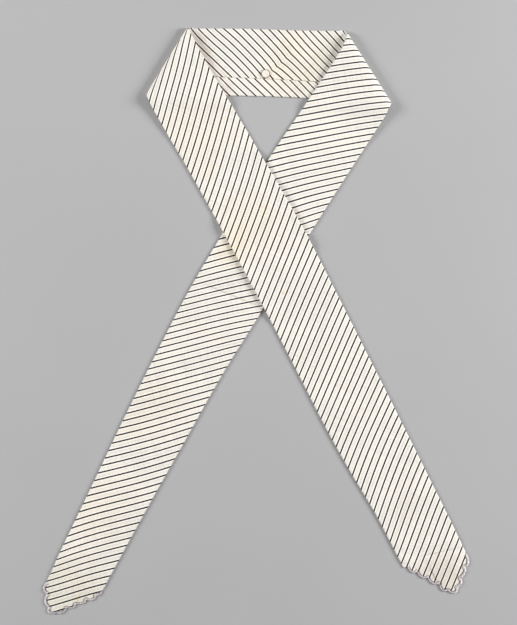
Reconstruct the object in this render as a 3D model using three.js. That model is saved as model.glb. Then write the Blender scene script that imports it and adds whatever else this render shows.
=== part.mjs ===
// Cravat: one bias-cut strip of striped cotton, sewn into a flat tube with scalloped ends.
// It lies on a table with the inside of its neckband up. The strip is turned over at both
// ends of the neckband, and its two tails cross below it.
// X is to the right and Y up across the table, Z is up, and the table is at Z = 0.
import * as THREE from 'three';

// Driving dimensions, in millimetres
const CLOTH = 2.0; // the flat tube, pressed: two layers of cotton and what air they hold
const EDGE_ROUND = 2.0; // how far in from a folded long edge the tube is at full thickness
const GAP = 0.3; // room between pieces that touch
const LAP_STEP = 0.5; // how much thicker the neckband is below its lapped seam
const LAP_SHARE = 0.25; // the lap's share of the neckband's width, from its lower edge
const ROLL_HEIGHT = 7.0; // top of the soft roll where the strip turns over
const ROLL_REACH = 4.0; // depth of the roll's rounded nose
const ROLL_FADE = 30.0; // the turned-over strip comes down onto the neckband over this length
const DRAPE = 16.0; // the strip comes down from an edge below it over this length
const OVERHANG = 3.0; // and stays level this far past that edge
const FAN_END = 104.0; // from here on a tail's sections are square to its length
const RIM = 1.6; // width of the stitched rim round a scalloped end
const RIM_STEPS = 5; // straight steps in the curve of one scallop
const BUTTON_RADIUS = 4.4;
const BUTTON_HEIGHT = 2.2;
const BUTTON_PLACE = [9.5, 247.5];
const BUTTON_SIDES = 28;

// Where the neckband parts from a tail, as an angle round the roll's nose: below its middle
const NECK_SPLIT = -48;
const TAIL_SPLIT = -42;

// The neckband's long edges, read across the table
const NECK_TOP = [
  { x: -75, y: 292.9 },
  { x: -18, y: 292.7 },
  { x: 46, y: 290.9 },
  { x: 95, y: 290.3 },
];
const NECK_BOTTOM = [
  { x: -115, y: 226.2 },
  { x: -18, y: 225.5 },
  { x: 46, y: 223.4 },
  { x: 140, y: 216.9 },
];

// Each tail has a frame of its own: 'along' runs down its length from the fold, 'across' is
// square to it, and west and east are its long edges. The fold line goes through the frame's
// origin and leans from square. Its two corners are given along that line, and tuck is how
// far the west edge is drawn in as it goes round.
const OVER = {
  origin: [-89.25, 260.4],
  heading: -62.0,
  fold: { lean: 30.2, west: 39.6, east: -39.2, tuck: 0 },
  edges: [
    { along: -24, west: -34.7, east: 34.0 },
    { along: 34, west: -34.6, east: 34.4 },
    { along: 66, west: -33.7, east: 36.3 },
    { along: 102, west: -32.0, east: 38.0 },
    { along: 162, west: -30.7, east: 40.3 },
    { along: 222, west: -30.2, east: 41.9 },
    { along: 282, west: -30.2, east: 40.9 },
    { along: 342, west: -30.8, east: 39.6 },
    { along: 402, west: -31.8, east: 38.3 },
    { along: 452, west: -30.6, east: 37.0 },
    { along: 500, west: -28.3, east: 35.7 },
    { along: 590, west: -29.7, east: 33.2 },
  ],
  bodyEnd: 545,
  end: [
    { along: 555.1, across: -28.6, scallops: 4, bulge: 2.4 },
    { along: 599.9, across: 1.0, scallops: 1, bulge: 4.0 },
    { along: 601.9, across: 9.9, scallops: 3, bulge: 1.8 },
    { along: 576.9, across: 33.3 },
  ],
  backShift: { along: 1.0, across: 0.7 },
};
const UNDER = {
  origin: [113.0, 254.0],
  heading: -119.15,
  fold: { lean: -28.6, west: 41.2, east: -42.3, tuck: 2.7 },
  edges: [
    { along: -24, west: -33.0, east: 37.4 },
    { along: 8, west: -33.4, east: 37.3 },
    { along: 30, west: -35.0, east: 37.9 },
    { along: 64, west: -37.6, east: 35.7 },
    { along: 112, west: -41.9, east: 32.5 },
    { along: 160, west: -44.6, east: 29.8 },
    { along: 220, west: -47.1, east: 27.0 },
    { along: 280, west: -48.5, east: 24.2 },
    { along: 340, west: -47.0, east: 21.3 },
    { along: 420, west: -43.3, east: 21.0 },
    { along: 500, west: -38.2, east: 20.9 },
    { along: 620, west: -30.9, east: 22.2 },
  ],
  bodyEnd: 575,
  end: [
    { along: 607.4, across: -30.7, scallops: 2, bulge: 2.2 },
    { along: 627.2, across: -17.4, scallops: 1, bulge: 3.9 },
    { along: 629.6, across: -8.0, scallops: 5, bulge: 2.4 },
    { along: 588.0, across: 22.0 },
  ],
  backShift: { along: 1.3, across: -0.6 },
};

const NOSE = { c: CLOTH / 2 + ROLL_REACH, z: ROLL_HEIGHT / 2, rise: (ROLL_HEIGHT - CLOTH) / 2 };
const NOSE_MEAN_RADIUS = (ROLL_REACH + NOSE.rise) / 2;
const REST_ON_NECK = CLOTH + LAP_STEP + GAP;
const REST_ON_TAIL = CLOTH + GAP;

const radians = THREE.MathUtils.degToRad;
const lerp = THREE.MathUtils.lerp;
const mix = (p, q, t) => [lerp(p[0], q[0], t), lerp(p[1], q[1], t)];

// Smooth curve through a short table: a cubic between rows, with slopes from their neighbours
function read(table, key, value, at) {
  const last = table.length - 2;
  let i = 0;
  while (i < last && at > table[i + 1][key]) i += 1;
  const [p, q] = [table[i], table[i + 1]];
  const [before, after] = [table[Math.max(i - 1, 0)], table[Math.min(i + 2, last + 1)]];
  const span = q[key] - p[key];
  const t = THREE.MathUtils.clamp((at - p[key]) / span, 0, 1);
  const slopeP = ((q[value] - before[value]) / (q[key] - before[key])) * span;
  const slopeQ = ((after[value] - p[value]) / (after[key] - p[key])) * span;
  const t2 = t * t;
  const t3 = t2 * t;
  return (2 * t3 - 3 * t2 + 1) * p[value] + (t3 - 2 * t2 + t) * slopeP
    + (3 * t2 - 2 * t3) * q[value] + (t3 - t2) * slopeQ;
}

// From a tail's own frame to the table, and back
function toTable(tail, along, across) {
  const turn = radians(tail.heading);
  return [
    tail.origin[0] + along * Math.cos(turn) - across * Math.sin(turn),
    tail.origin[1] + along * Math.sin(turn) + across * Math.cos(turn),
  ];
}

function fromTable(tail, [x, y]) {
  const turn = radians(tail.heading);
  const [dx, dy] = [x - tail.origin[0], y - tail.origin[1]];
  return {
    along: dx * Math.cos(turn) + dy * Math.sin(turn),
    across: dy * Math.cos(turn) - dx * Math.sin(turn),
  };
}

// How far a point of the table is inside the fold line of a tail
function depthInFold(tail, point) {
  const { along, across } = fromTable(tail, point);
  const lean = radians(tail.fold.lean);
  return along * Math.cos(lean) + across * Math.sin(lean);
}

// The point at a given depth inside the fold line and a given place along that line
function foldPoint(tail, depth, t) {
  const lean = radians(tail.fold.lean);
  return toTable(
    tail,
    depth * Math.cos(lean) + t * Math.sin(lean),
    depth * Math.sin(lean) - t * Math.cos(lean),
  );
}

// 1 on a support and just past its edge, down to 0 where the cloth has come down to the table
function drape(distancePast) {
  return 1 - THREE.MathUtils.smoothstep(distancePast, OVERHANG, OVERHANG + DRAPE);
}

const onNeck = ([x, y]) => REST_ON_NECK * drape(read(NECK_BOTTOM, 'x', 'y', x) - y);

function onUnderTail(point) {
  const { along, across } = fromTable(UNDER, point);
  const west = read(UNDER.edges, 'along', 'west', along);
  const east = read(UNDER.edges, 'along', 'east', along);
  return REST_ON_TAIL * drape(Math.max(west - across, across - east));
}

// Height of a tail's underside: on what lies below it, and held up a little near its fold
function underside(tail, point) {
  const loft = ROLL_HEIGHT - CLOTH - REST_ON_NECK;
  const fade = 1 - THREE.MathUtils.smoothstep(depthInFold(tail, point), NOSE.c, NOSE.c + ROLL_FADE);
  const support = tail === OVER ? Math.max(onNeck(point), onUnderTail(point)) : onNeck(point);
  return support + loft * fade;
}

// A closed solid is gathered here as shared points and triangles
class Solid {
  points = [];
  faces = [];

  point(x, y, z) {
    this.points.push(x, y, z);
    return this.points.length / 3 - 1;
  }

  face(...corners) {
    for (let i = 2; i < corners.length; i += 1) {
      const triangle = [corners[0], corners[i - 1], corners[i]];
      if (new Set(triangle).size === 3) this.faces.push(...triangle);
    }
  }

  // The skin between two rings of points
  band(ringA, ringB) {
    ringA.forEach((a, i) => {
      const j = (i + 1) % ringA.length;
      this.face(a, ringB[i], ringA[j]);
      this.face(ringA[j], ringB[i], ringB[j]);
    });
  }

  // Closes a flat ring, whose first half is its top and second half its underside
  cap(ring, atStart) {
    const n = ring.length / 2;
    for (let i = 0; i < n; i += 1) {
      const lower = (k) => ring[(2 * n - k) % (2 * n)];
      const corners = [ring[i], ring[i + 1], lower(i + 1), lower(i)];
      const order = atStart ? corners : corners.reverse();
      this.face(order[0], order[1], order[2]);
      this.face(order[0], order[2], order[3]);
    }
  }

  geometry() {
    const result = new THREE.BufferGeometry();
    result.setAttribute('position', new THREE.Float32BufferAttribute(this.points, 3));
    result.setIndex(this.faces);
    result.computeVertexNormals();
    return result;
  }
}

// Places across the strip where a section has points, with the share of full thickness there
function sectionStops(width, inner) {
  const edge = [
    { from: 0, share: 0 },
    { from: EDGE_ROUND * 0.3, share: 0.72 },
    { from: EDGE_ROUND, share: 1 },
  ];
  return [
    ...edge,
    ...inner.map((part) => ({ from: part * width, share: 1 })),
    ...edge.map(({ from, share }) => ({ from: width - from, share })).reverse(),
  ];
}

// One ring of a strip: a section from edge to edge, thickened to both sides of its middle.
// placeMiddle gives the height of the middle, normal the way its upper side faces, and
// extra what is added on that side.
function ringOf(solid, from, to, inner, { placeMiddle, normal, extra = () => 0 }) {
  const width = Math.hypot(to[0] - from[0], to[1] - from[1]);
  const stops = sectionStops(width, inner);
  const put = ({ from: distance, share }, side) => {
    const t = distance / width;
    const spot = mix(from, to, t);
    const [nx, ny, nz] = normal;
    const reach = side * share * (CLOTH / 2 + (side > 0 ? extra(t) : 0));
    return solid.point(spot[0] + reach * nx, spot[1] + reach * ny, placeMiddle(spot) + reach * nz);
  };
  const top = stops.map((stop) => put(stop, 1));
  const bottom = stops.slice(1, -1).map((stop) => put(stop, -1));
  return [...top, ...bottom.reverse()];
}

// The strip's west and east edges at an angle round the nose of its roll: -90 degrees is the
// lower side, 0 the tip of the nose and 90 the upper side
function noseEnds(tail, degrees) {
  const angle = radians(degrees);
  const slide = NOSE_MEAN_RADIUS * angle * Math.tan(radians(tail.fold.lean));
  const drawnIn = tail.fold.tuck * Math.sin(angle);
  const depth = NOSE.c - ROLL_REACH * Math.cos(angle);
  return [
    foldPoint(tail, depth, tail.fold.west + slide - drawnIn),
    foldPoint(tail, depth, tail.fold.east + slide),
  ];
}

// The neckband runs from left to right with its lower edge first: the west edge of the tail
// that lies on top is its lower edge, and the west edge of the other tail its upper one
const neckOrder = (tail, west, east) => (tail === OVER ? [west, east] : [east, west]);

// The ring of a strip at an angle round the nose. Facing is 1 for a tail, whose upper side is
// the outside of the roll, and -1 for the neckband, whose upper side is its inside.
function noseRing(solid, tail, degrees, inner, facing, extra) {
  const angle = radians(degrees);
  const inward = radians(tail.heading + tail.fold.lean);
  const out = new THREE.Vector2(-Math.cos(angle) / ROLL_REACH, Math.sin(angle) / NOSE.rise);
  out.normalize().multiplyScalar(facing);
  const normal = [out.x * Math.cos(inward), out.x * Math.sin(inward), out.y];
  const height = NOSE.z + NOSE.rise * Math.sin(angle);
  const ends = noseEnds(tail, degrees);
  const [from, to] = facing > 0 ? ends : neckOrder(tail, ...ends);
  return ringOf(solid, from, to, inner, { placeMiddle: () => height, normal, extra });
}

// Neckband: inside of the strip up, with the step of its lapped seam
function neckband() {
  const inner = [0.1, LAP_SHARE - 0.003, LAP_SHARE + 0.006, 0.4, 0.55, 0.7, 0.85];
  const extra = (t) => (t < LAP_SHARE ? LAP_STEP : 0);
  const solid = new Solid();
  const curl = [NECK_SPLIT, -68, -90];
  const rings = curl.map((angle) => noseRing(solid, OVER, angle, inner, -1, extra));
  const [leftLow, leftHigh] = neckOrder(OVER, ...noseEnds(OVER, -90));
  const [rightLow, rightHigh] = neckOrder(UNDER, ...noseEnds(UNDER, -90));
  const steps = 14;
  for (let i = 1; i < steps; i += 1) {
    const lowX = lerp(leftLow[0], rightLow[0], i / steps);
    const highX = lerp(leftHigh[0], rightHigh[0], i / steps);
    const low = [lowX, read(NECK_BOTTOM, 'x', 'y', lowX)];
    const high = [highX, read(NECK_TOP, 'x', 'y', highX)];
    const flat = { placeMiddle: () => CLOTH / 2, normal: [0, 0, 1], extra };
    rings.push(ringOf(solid, low, high, inner, flat));
  }
  rings.push(...curl.reverse().map((angle) => noseRing(solid, UNDER, angle, inner, -1, extra)));
  rings.slice(1).forEach((ring, i) => solid.band(rings[i], ring));
  solid.cap(rings[0], true);
  solid.cap(rings[rings.length - 1], false);
  return solid.geometry();
}

// Corner points of a scalloped end, moved in from the outer line by an inset
function endCorners(tail, inset) {
  const corners = tail.end.map(({ along, across }) => new THREE.Vector2(along, across));
  const sides = corners.slice(1).map((corner, i) => corner.clone().sub(corners[i]).normalize());
  return corners.map((corner, i) => {
    const before = sides[i - 1] ?? sides[i];
    const after = sides[i] ?? sides[i - 1];
    const bisector = before.clone().add(after).normalize();
    const reach = inset / Math.abs(before.dot(bisector));
    return new THREE.Vector2(corner.x - reach * bisector.y, corner.y + reach * bisector.x);
  });
}

// The line of a scalloped end from its west to its east corner, as points on the table
function scallopLine(tail, inset, shift = { along: 0, across: 0 }) {
  const corners = endCorners(tail, inset);
  const line = [];
  tail.end.slice(0, -1).forEach(({ scallops, bulge }, side) => {
    const flatter = inset > 0 ? 0.92 : 1;
    for (let k = 0; k < scallops; k += 1) {
      const from = corners[side].clone().lerp(corners[side + 1], k / scallops);
      const to = corners[side].clone().lerp(corners[side + 1], (k + 1) / scallops);
      const half = from.distanceTo(to) / 2;
      const spread = 2 * Math.atan((bulge * flatter) / half);
      const radius = half / Math.sin(spread);
      const run = to.clone().sub(from).normalize();
      const middle = from.clone().lerp(to, 0.5);
      for (let step = 0; step < RIM_STEPS; step += 1) {
        const angle = lerp(-spread, spread, step / RIM_STEPS);
        const forward = radius * Math.sin(angle);
        const outward = radius * (Math.cos(angle) - Math.cos(spread));
        line.push([
          middle.x + forward * run.x + outward * run.y,
          middle.y + forward * run.y - outward * run.x,
        ]);
      }
    }
  });
  const last = corners[corners.length - 1];
  line.push([last.x, last.y]);
  return line.map(([along, across]) => toTable(tail, along + shift.along, across + shift.across));
}

// The flat end of a tail, from its last ring to the line of its scallops
function closeEnd(solid, ring, line) {
  const n = ring.length / 2;
  const upperRow = ring.slice(1, n);
  const lowerRow = upperRow.map((_, i) => ring[2 * n - 1 - i]);
  const upperLine = line.map(([x, y]) => solid.point(x, y, CLOTH));
  const lowerLine = line.map(([x, y]) => solid.point(x, y, 0));
  const upper = [...upperLine, ...upperRow.reverse()];
  const lower = [...lowerLine, ...lowerRow.reverse()];
  const outline = upper.map((i) => new THREE.Vector2(solid.points[3 * i], solid.points[3 * i + 1]));
  THREE.ShapeUtils.triangulateShape(outline, []).forEach(([a, b, c]) => {
    solid.face(upper[a], upper[b], upper[c]);
    solid.face(lower[c], lower[b], lower[a]);
  });
  for (let i = 1; i < line.length; i += 1) {
    solid.face(lowerLine[i - 1], lowerLine[i], upperLine[i]);
    solid.face(lowerLine[i - 1], upperLine[i], upperLine[i - 1]);
  }
  const last = line.length - 1;
  solid.face(ring[0], ring[2 * n - 1], lowerLine[0]);
  solid.face(ring[0], lowerLine[0], upperLine[0]);
  solid.face(ring[0], upperLine[0], ring[1]);
  solid.face(ring[n], ring[n - 1], upperLine[last]);
  solid.face(ring[n], upperLine[last], lowerLine[last]);
  solid.face(ring[n], lowerLine[last], ring[n + 1]);
}

// Where a line at a given depth inside the fold meets one long edge of a tail
function edgeAtDepth(tail, depth, side) {
  const lean = radians(tail.fold.lean);
  let along = depth;
  for (let i = 0; i < 8; i += 1) {
    const across = read(tail.edges, 'along', side, along);
    along = (depth - across * Math.sin(lean)) / Math.cos(lean);
  }
  return along;
}

// A tail: round the nose of its roll, then down its length to the scalloped end
function tailStrip(tail, stepAt) {
  const inner = [0.14, 0.26, 0.38, 0.5, 0.62, 0.74, 0.86];
  const solid = new Solid();
  const turns = [TAIL_SPLIT, -22, 0, 22, 45, 68, 90];
  const rings = turns.map((angle) => noseRing(solid, tail, angle, inner, 1));
  const section = {
    placeMiddle: (spot) => underside(tail, spot) + CLOTH / 2,
    normal: [0, 0, 1],
  };
  const addRow = (alongWest, alongEast) => {
    const west = toTable(tail, alongWest, read(tail.edges, 'along', 'west', alongWest));
    const east = toTable(tail, alongEast, read(tail.edges, 'along', 'east', alongEast));
    rings.push(ringOf(solid, west, east, inner, section));
  };
  const depths = [9, 14, 20, 27];
  depths.forEach((depth) => {
    addRow(edgeAtDepth(tail, depth, 'west'), edgeAtDepth(tail, depth, 'east'));
  });
  const lastDepth = depths[depths.length - 1];
  const fan = 8;
  for (let i = 1; i <= fan; i += 1) {
    addRow(
      lerp(edgeAtDepth(tail, lastDepth, 'west'), FAN_END, i / fan),
      lerp(edgeAtDepth(tail, lastDepth, 'east'), FAN_END, i / fan),
    );
  }
  for (let at = FAN_END; at < tail.bodyEnd;) {
    at = Math.min(at + stepAt(at), tail.bodyEnd);
    addRow(at, at);
  }
  rings.slice(1).forEach((ring, i) => solid.band(rings[i], ring));
  solid.cap(rings[0], true);
  closeEnd(solid, rings[rings.length - 1], scallopLine(tail, RIM + GAP));
  return solid.geometry();
}

// The stitched rim of one layer of cloth at a scalloped end: the layer may reach out further
// than the other by a shift
function edging(tail, shift) {
  const outer = scallopLine(tail, 0, shift);
  const inner = scallopLine(tail, RIM).reverse();
  const outline = new THREE.Shape([...outer, ...inner].map(([x, y]) => new THREE.Vector2(x, y)));
  return new THREE.ExtrudeGeometry(outline, { depth: (CLOTH - GAP) / 2, bevelEnabled: false });
}

// Button: a small turned disc, dished inside a round rim
function buttonDisc() {
  const profile = [
    [0, 0],
    [BUTTON_RADIUS * 0.8, 0],
    [BUTTON_RADIUS, BUTTON_HEIGHT * 0.35],
    [BUTTON_RADIUS, BUTTON_HEIGHT * 0.7],
    [BUTTON_RADIUS * 0.9, BUTTON_HEIGHT],
    [BUTTON_RADIUS * 0.78, BUTTON_HEIGHT],
    [BUTTON_RADIUS * 0.68, BUTTON_HEIGHT * 0.75],
    [0, BUTTON_HEIGHT * 0.85],
  ].map(([r, z]) => new THREE.Vector2(r, z));
  return new THREE.LatheGeometry(profile, BUTTON_SIDES).rotateX(Math.PI / 2);
}

const cotton = new THREE.MeshStandardMaterial({ color: 0xece6d8, roughness: 0.9, metalness: 0 });
const thread = new THREE.MeshStandardMaterial({ color: 0xd9d3dc, roughness: 0.8, metalness: 0 });
const linen = new THREE.MeshStandardMaterial({ color: 0xeee4d0, roughness: 0.7, metalness: 0 });

function piece(name, geometry, material, z = 0) {
  const mesh = new THREE.Mesh(geometry, material);
  mesh.name = name;
  mesh.position.z = z;
  return mesh;
}

const inCrossing = (at) => at > 104 && at < 300;
const upperLayer = (CLOTH + GAP) / 2;
const group = new THREE.Group();
group.add(
  piece('neckband', neckband(), cotton),
  piece('over_tail', tailStrip(OVER, (at) => (inCrossing(at) ? 9 : 24)), cotton),
  piece('under_tail', tailStrip(UNDER, () => 24), cotton),
  piece('over_tail_edging', edging(OVER), thread, upperLayer),
  piece('over_tail_edging_back', edging(OVER, OVER.backShift), thread),
  piece('under_tail_edging', edging(UNDER), thread, upperLayer),
  piece('under_tail_edging_back', edging(UNDER, UNDER.backShift), thread),
);
const button = piece('neck_button', buttonDisc(), linen, CLOTH + GAP);
button.position.x = BUTTON_PLACE[0];
button.position.y = BUTTON_PLACE[1];
group.add(button);

export default group;
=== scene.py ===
"""A striped cotton cravat lying on a table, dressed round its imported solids.

The cravat is one bias-cut strip, sewn into a flat tube. The middle of it is the neckband, whose
inside faces up. It is turned over at both ends, and the two tails cross below.
Tables are in millimetres, as X to the right and Y up across the table, and MM makes them metres.
"""

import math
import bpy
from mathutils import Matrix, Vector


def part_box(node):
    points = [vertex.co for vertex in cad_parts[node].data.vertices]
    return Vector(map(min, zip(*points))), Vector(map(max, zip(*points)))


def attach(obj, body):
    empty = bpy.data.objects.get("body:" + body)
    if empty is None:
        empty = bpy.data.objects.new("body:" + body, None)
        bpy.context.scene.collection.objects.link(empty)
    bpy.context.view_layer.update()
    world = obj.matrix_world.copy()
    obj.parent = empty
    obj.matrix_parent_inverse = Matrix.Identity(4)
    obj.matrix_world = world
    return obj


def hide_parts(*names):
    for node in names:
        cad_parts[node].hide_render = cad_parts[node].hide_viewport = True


bl_info = {
    "name": "Folded Striped Cravat",
    "version": (1, 0, 0),
    "blender": (4, 5, 0),
    "location": "3D View > Sidebar > Cravat",
    "description": "Cloth, stitched edgings, seam stitches, button and studio for a flat cravat",
    "category": "Add Mesh",
}

from collections import namedtuple

import bmesh
import bpy
from bpy.props import FloatProperty, FloatVectorProperty, PointerProperty
from mathutils import Vector, noise

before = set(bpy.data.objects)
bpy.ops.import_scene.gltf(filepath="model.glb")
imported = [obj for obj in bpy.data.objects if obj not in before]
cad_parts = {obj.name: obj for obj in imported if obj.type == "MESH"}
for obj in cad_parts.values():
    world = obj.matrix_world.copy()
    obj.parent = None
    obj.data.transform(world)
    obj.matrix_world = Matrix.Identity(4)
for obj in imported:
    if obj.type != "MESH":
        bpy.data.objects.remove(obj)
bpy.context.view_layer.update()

MM = 0.001

# Cloth and tube, in millimetres
REST = 0.05  # the lowest cloth lies this far above the table
LOWEST_CLOTH = 0.02  # and nothing of it goes below this
HALF_TUBE = 0.85  # half the thickness of the flat tube
EDGE_ROUND = 0.9  # how far in from a folded edge the tube is at full thickness
EDGE_INSETS = (0.0, 0.1, 0.38, EDGE_ROUND)  # columns of the mesh round a folded edge
EDGE_CLEAR = 0.3  # and the next column lies at least this much further in
CALM_EDGE = (0.5, 6.0)  # creases and ripples grow to their full height between these insets
DEEPEST = 0.7  # a trough takes at most this share of the tube's half thickness
CLEARANCE = 0.2  # between a stretch of the tube and what it lies on
LIFT_BELOW = 0.12  # the underside's creases stand clear of the table by this much
RIPPLES = ((26.0, 0.0, 0.16), (9.0, 7.3, 0.05))  # length, added seed and height of each
UNDERSIDE_SEED = 3.1
CREASE_PAST = 0.3  # a crease runs out past its points by this share of its length
CREASE_FULL = 0.35  # and has its full height from this share in

# The lapped seam
LAP_STEP = 0.4  # how far the lap stands proud
LAP_FOLD = 0.3  # width of the little step at its folded edge
STEP_ROUND = 0.25  # share of the step that rounds off its corner
LAP_SINK = 0.4  # a lap below lifts the cloth beside it by at most this share of the half tube
SEAM_SHARE = 0.25  # a tail's seam lies at this share of the width from one edge
SEAM_CLEAR = 0.012  # columns nearer to the seam than this share of the width are left out
SEAM_HEIGHT = 0.6 * LAP_STEP  # the seam's stitches lie this far up its step
NECK_SEAM_SPAN = (-62.0, 82.0)  # where the neckband's stitches start and stop
TAIL_SEAM_START = 30.0  # a tail's start this far down it
TAIL_SEAM_STOP = 6.0  # and stop this far before its scalloped end

# The turned folds
ROLL_HEIGHT = 7.0  # top of the soft roll where the strip turns over
ROLL_FADE = 54.0  # the turned-over strip comes down onto the neckband over this length
FOLD_IN = 1.0  # the roll's outermost line, in from the CAD fold line
ROLL_UNDER = 4.0  # the roll's underside comes round over this distance
ROLL_OVER = 7.0  # and its top over this one
ROLLED_MORE = 2.8  # the cloth is gathered by this much towards the roll's outermost line
GATHER_BEND = 1.2  # and ever faster on the way there
OVERHANG = 3.0  # cloth that has passed an edge below it stays up for this far
DRAPE = 16.0  # and is down on the table after this much more
NECK_TURNS = (-48, -54, -60, -68, -76, -84, -90)  # degrees round the roll's underside
TAIL_TURNS = (*range(-42, 90, 6), 90)  # and on over its top

# Rows and columns of the meshes
FAN_START = 27.0  # rows keep to the fold's direction up to this depth inside it
FAN_END = 104.0  # from here on a tail's sections are square to its length
ROW_STEP = 2.4  # from row to row
NECK_COLUMNS = 44
ARC_STEPS = 24  # for measuring the cloth round a roll
EDGE_TRIES = 8  # for finding where a row meets an edge

# The scalloped ends
SCALLOP_STEPS = 6  # columns to a scallop
SCALLOP_FULLNESS = 0.75  # below 1 a scallop is fuller than a sine curve
NOTCH_CUT = 0.5  # the notches between scallops go this much deeper
END_ROWS = 14
END_HALF = 0.55  # half thickness where the tube's end is open
THIN_FROM = 0.3  # the tube thins from this share of the scalloped end on
CLOTH_INSET = 0.35  # the cloth stops this far inside the rim of its stitches

NOSE_LOW = REST + HALF_TUBE
NOSE_HIGH = ROLL_HEIGHT - HALF_TUBE
NOSE_MIDDLE = (NOSE_LOW + NOSE_HIGH) / 2
NOSE_RISE = (NOSE_HIGH - NOSE_LOW) / 2
TUBE_TOP = REST + 2 * HALF_TUBE
REST_ON_NECK = TUBE_TOP + LAP_STEP + CLEARANCE
REST_ON_TAIL = TUBE_TOP + CLEARANCE

Line = namedtuple("Line", "x y")
Edge = namedtuple("Edge", "along west east")
Scallop = namedtuple("Scallop", "along across bulge peak stitched")
Stripe = namedtuple("Stripe", "along west middle east")
NeckStripe = namedtuple("NeckStripe", "x top middle low lap")
Fold = namedtuple("Fold", "lean west east tuck")
Shift = namedtuple("Shift", "along across")
Crease = namedtuple("Crease", "x0 y0 x1 y1 height width")
Stain = namedtuple("Stain", "x y radius strength tint")

NECK_TOP = (Line(-75, 292.9), Line(-18, 292.7), Line(46, 290.9), Line(95, 290.3))
NECK_BOTTOM = (Line(-115, 226.2), Line(-18, 225.5), Line(46, 223.4), Line(140, 216.9))
NECK_SEAM = (Line(-115, 0.29), Line(-38.5, 0.274), Line(63.5, 0.251), Line(140, 0.24))

# Stripes are counted along the strip, and these tables say which stripe passes where. A tail's
# table is read at three places across it, the neckband's at three heights and on its lap.
NECK_HEIGHTS = (286.0, 270.0, 255.0)
LAP_HEIGHT = 234.0
LAP_PITCH = 0.124
NECK_STRIPES = (
    NeckStripe(-130, -9.7, -12.1, -14.1, -13.5),
    NeckStripe(-100, -6.0, -8.25, -10.2, -9.9),
    NeckStripe(-68, -2.2, -4.1, -6.05, -6.05),
    NeckStripe(-60, -1.08, -3.05, -5.0, -5.1),
    NeckStripe(-48, 0.37, -1.6, -3.45, -3.65),
    NeckStripe(-36, 1.75, -0.25, -2.05, -2.2),
    NeckStripe(-24, 3.07, 1.1, -0.7, -0.7),
    NeckStripe(-12, 4.4, 2.53, 0.75, 0.7),
    NeckStripe(12, 7.22, 5.4, 3.75, 3.5),
    NeckStripe(36, 10.13, 8.35, 6.57, 6.4),
    NeckStripe(60, 13.29, 11.37, 9.57, 9.42),
    NeckStripe(80, 15.7, 13.9, 12.0, 11.85),
    NeckStripe(100, 18.05, 16.4, 14.5, 14.25),
    NeckStripe(150, 23.9, 22.6, 20.7, 20.2),
)
OUTSIDE_TURNS = 13.0  # stripes counted down the neckband's outside, to come round to its lap
DRAG = Crease(17.0, 252.0, 41.0, 272.0, 0.3, 3.0)  # the button's pull, with its height in stripes
DRAG_GROWS = (-0.25, 0.0)  # shares of its length
DRAG_FADES = (0.1, 1.2)
DRAG_BLUNT = 0.4  # how far its point is rounded off
DRAG_SPREAD = 2.0  # and how fast it spreads behind that

OVER_STRIPES_AT = (-26.0, 4.0, 30.0)
OVER_STRIPES = (
    Stripe(-30, -7.2, -2.95, 0.55),
    Stripe(10, -2.15, 1.55, 4.8),
    Stripe(40, 1.35, 4.95, 8.0),
    Stripe(90, 7.1, 10.5, 13.55),
    Stripe(160, 15.25, 18.5, 21.35),
    Stripe(240, 25.05, 28.15, 30.75),
    Stripe(320, 35.0, 38.1, 40.7),
    Stripe(400, 45.1, 48.1, 50.6),
    Stripe(440, 50.0, 53.05, 55.55),
    Stripe(480, 54.6, 57.75, 60.35),
    Stripe(520, 59.2, 62.45, 65.1),
    Stripe(550, 62.85, 65.95, 68.6),
    Stripe(580, 66.55, 69.6, 72.25),
    Stripe(610, 70.2, 73.3, 75.9),
)
UNDER_STRIPES_AT = (-30.0, -5.0, 20.0)
UNDER_STRIPES = (
    Stripe(-30, -3.85, -1.6, 0.45),
    Stripe(0, 0.05, 2.45, 4.75),
    Stripe(40, 5.2, 7.75, 10.25),
    Stripe(100, 12.65, 15.25, 17.95),
    Stripe(140, 17.35, 20.1, 22.9),
    Stripe(180, 21.9, 24.45, 27.4),
    Stripe(250, 29.95, 32.75, 35.45),
    Stripe(310, 37.4, 40.35, 43.3),
    Stripe(370, 44.7, 47.55, 50.4),
    Stripe(430, 51.55, 54.3, 57.2),
    Stripe(490, 58.4, 61.05, 63.75),
    Stripe(520, 61.75, 64.45, 67.15),
    Stripe(550, 64.95, 67.85, 70.6),
    Stripe(580, 68.2, 71.25, 74.0),
    Stripe(630, 74.05, 76.7, 79.65),
)
PITCH = 6.2  # from stripe to stripe
STRIPE_SLOPE = 0.105  # stripes passed for each millimetre straight across a tail
STRIPE_SLANT = math.radians(50)  # of the stripes to the length of the strip

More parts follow.
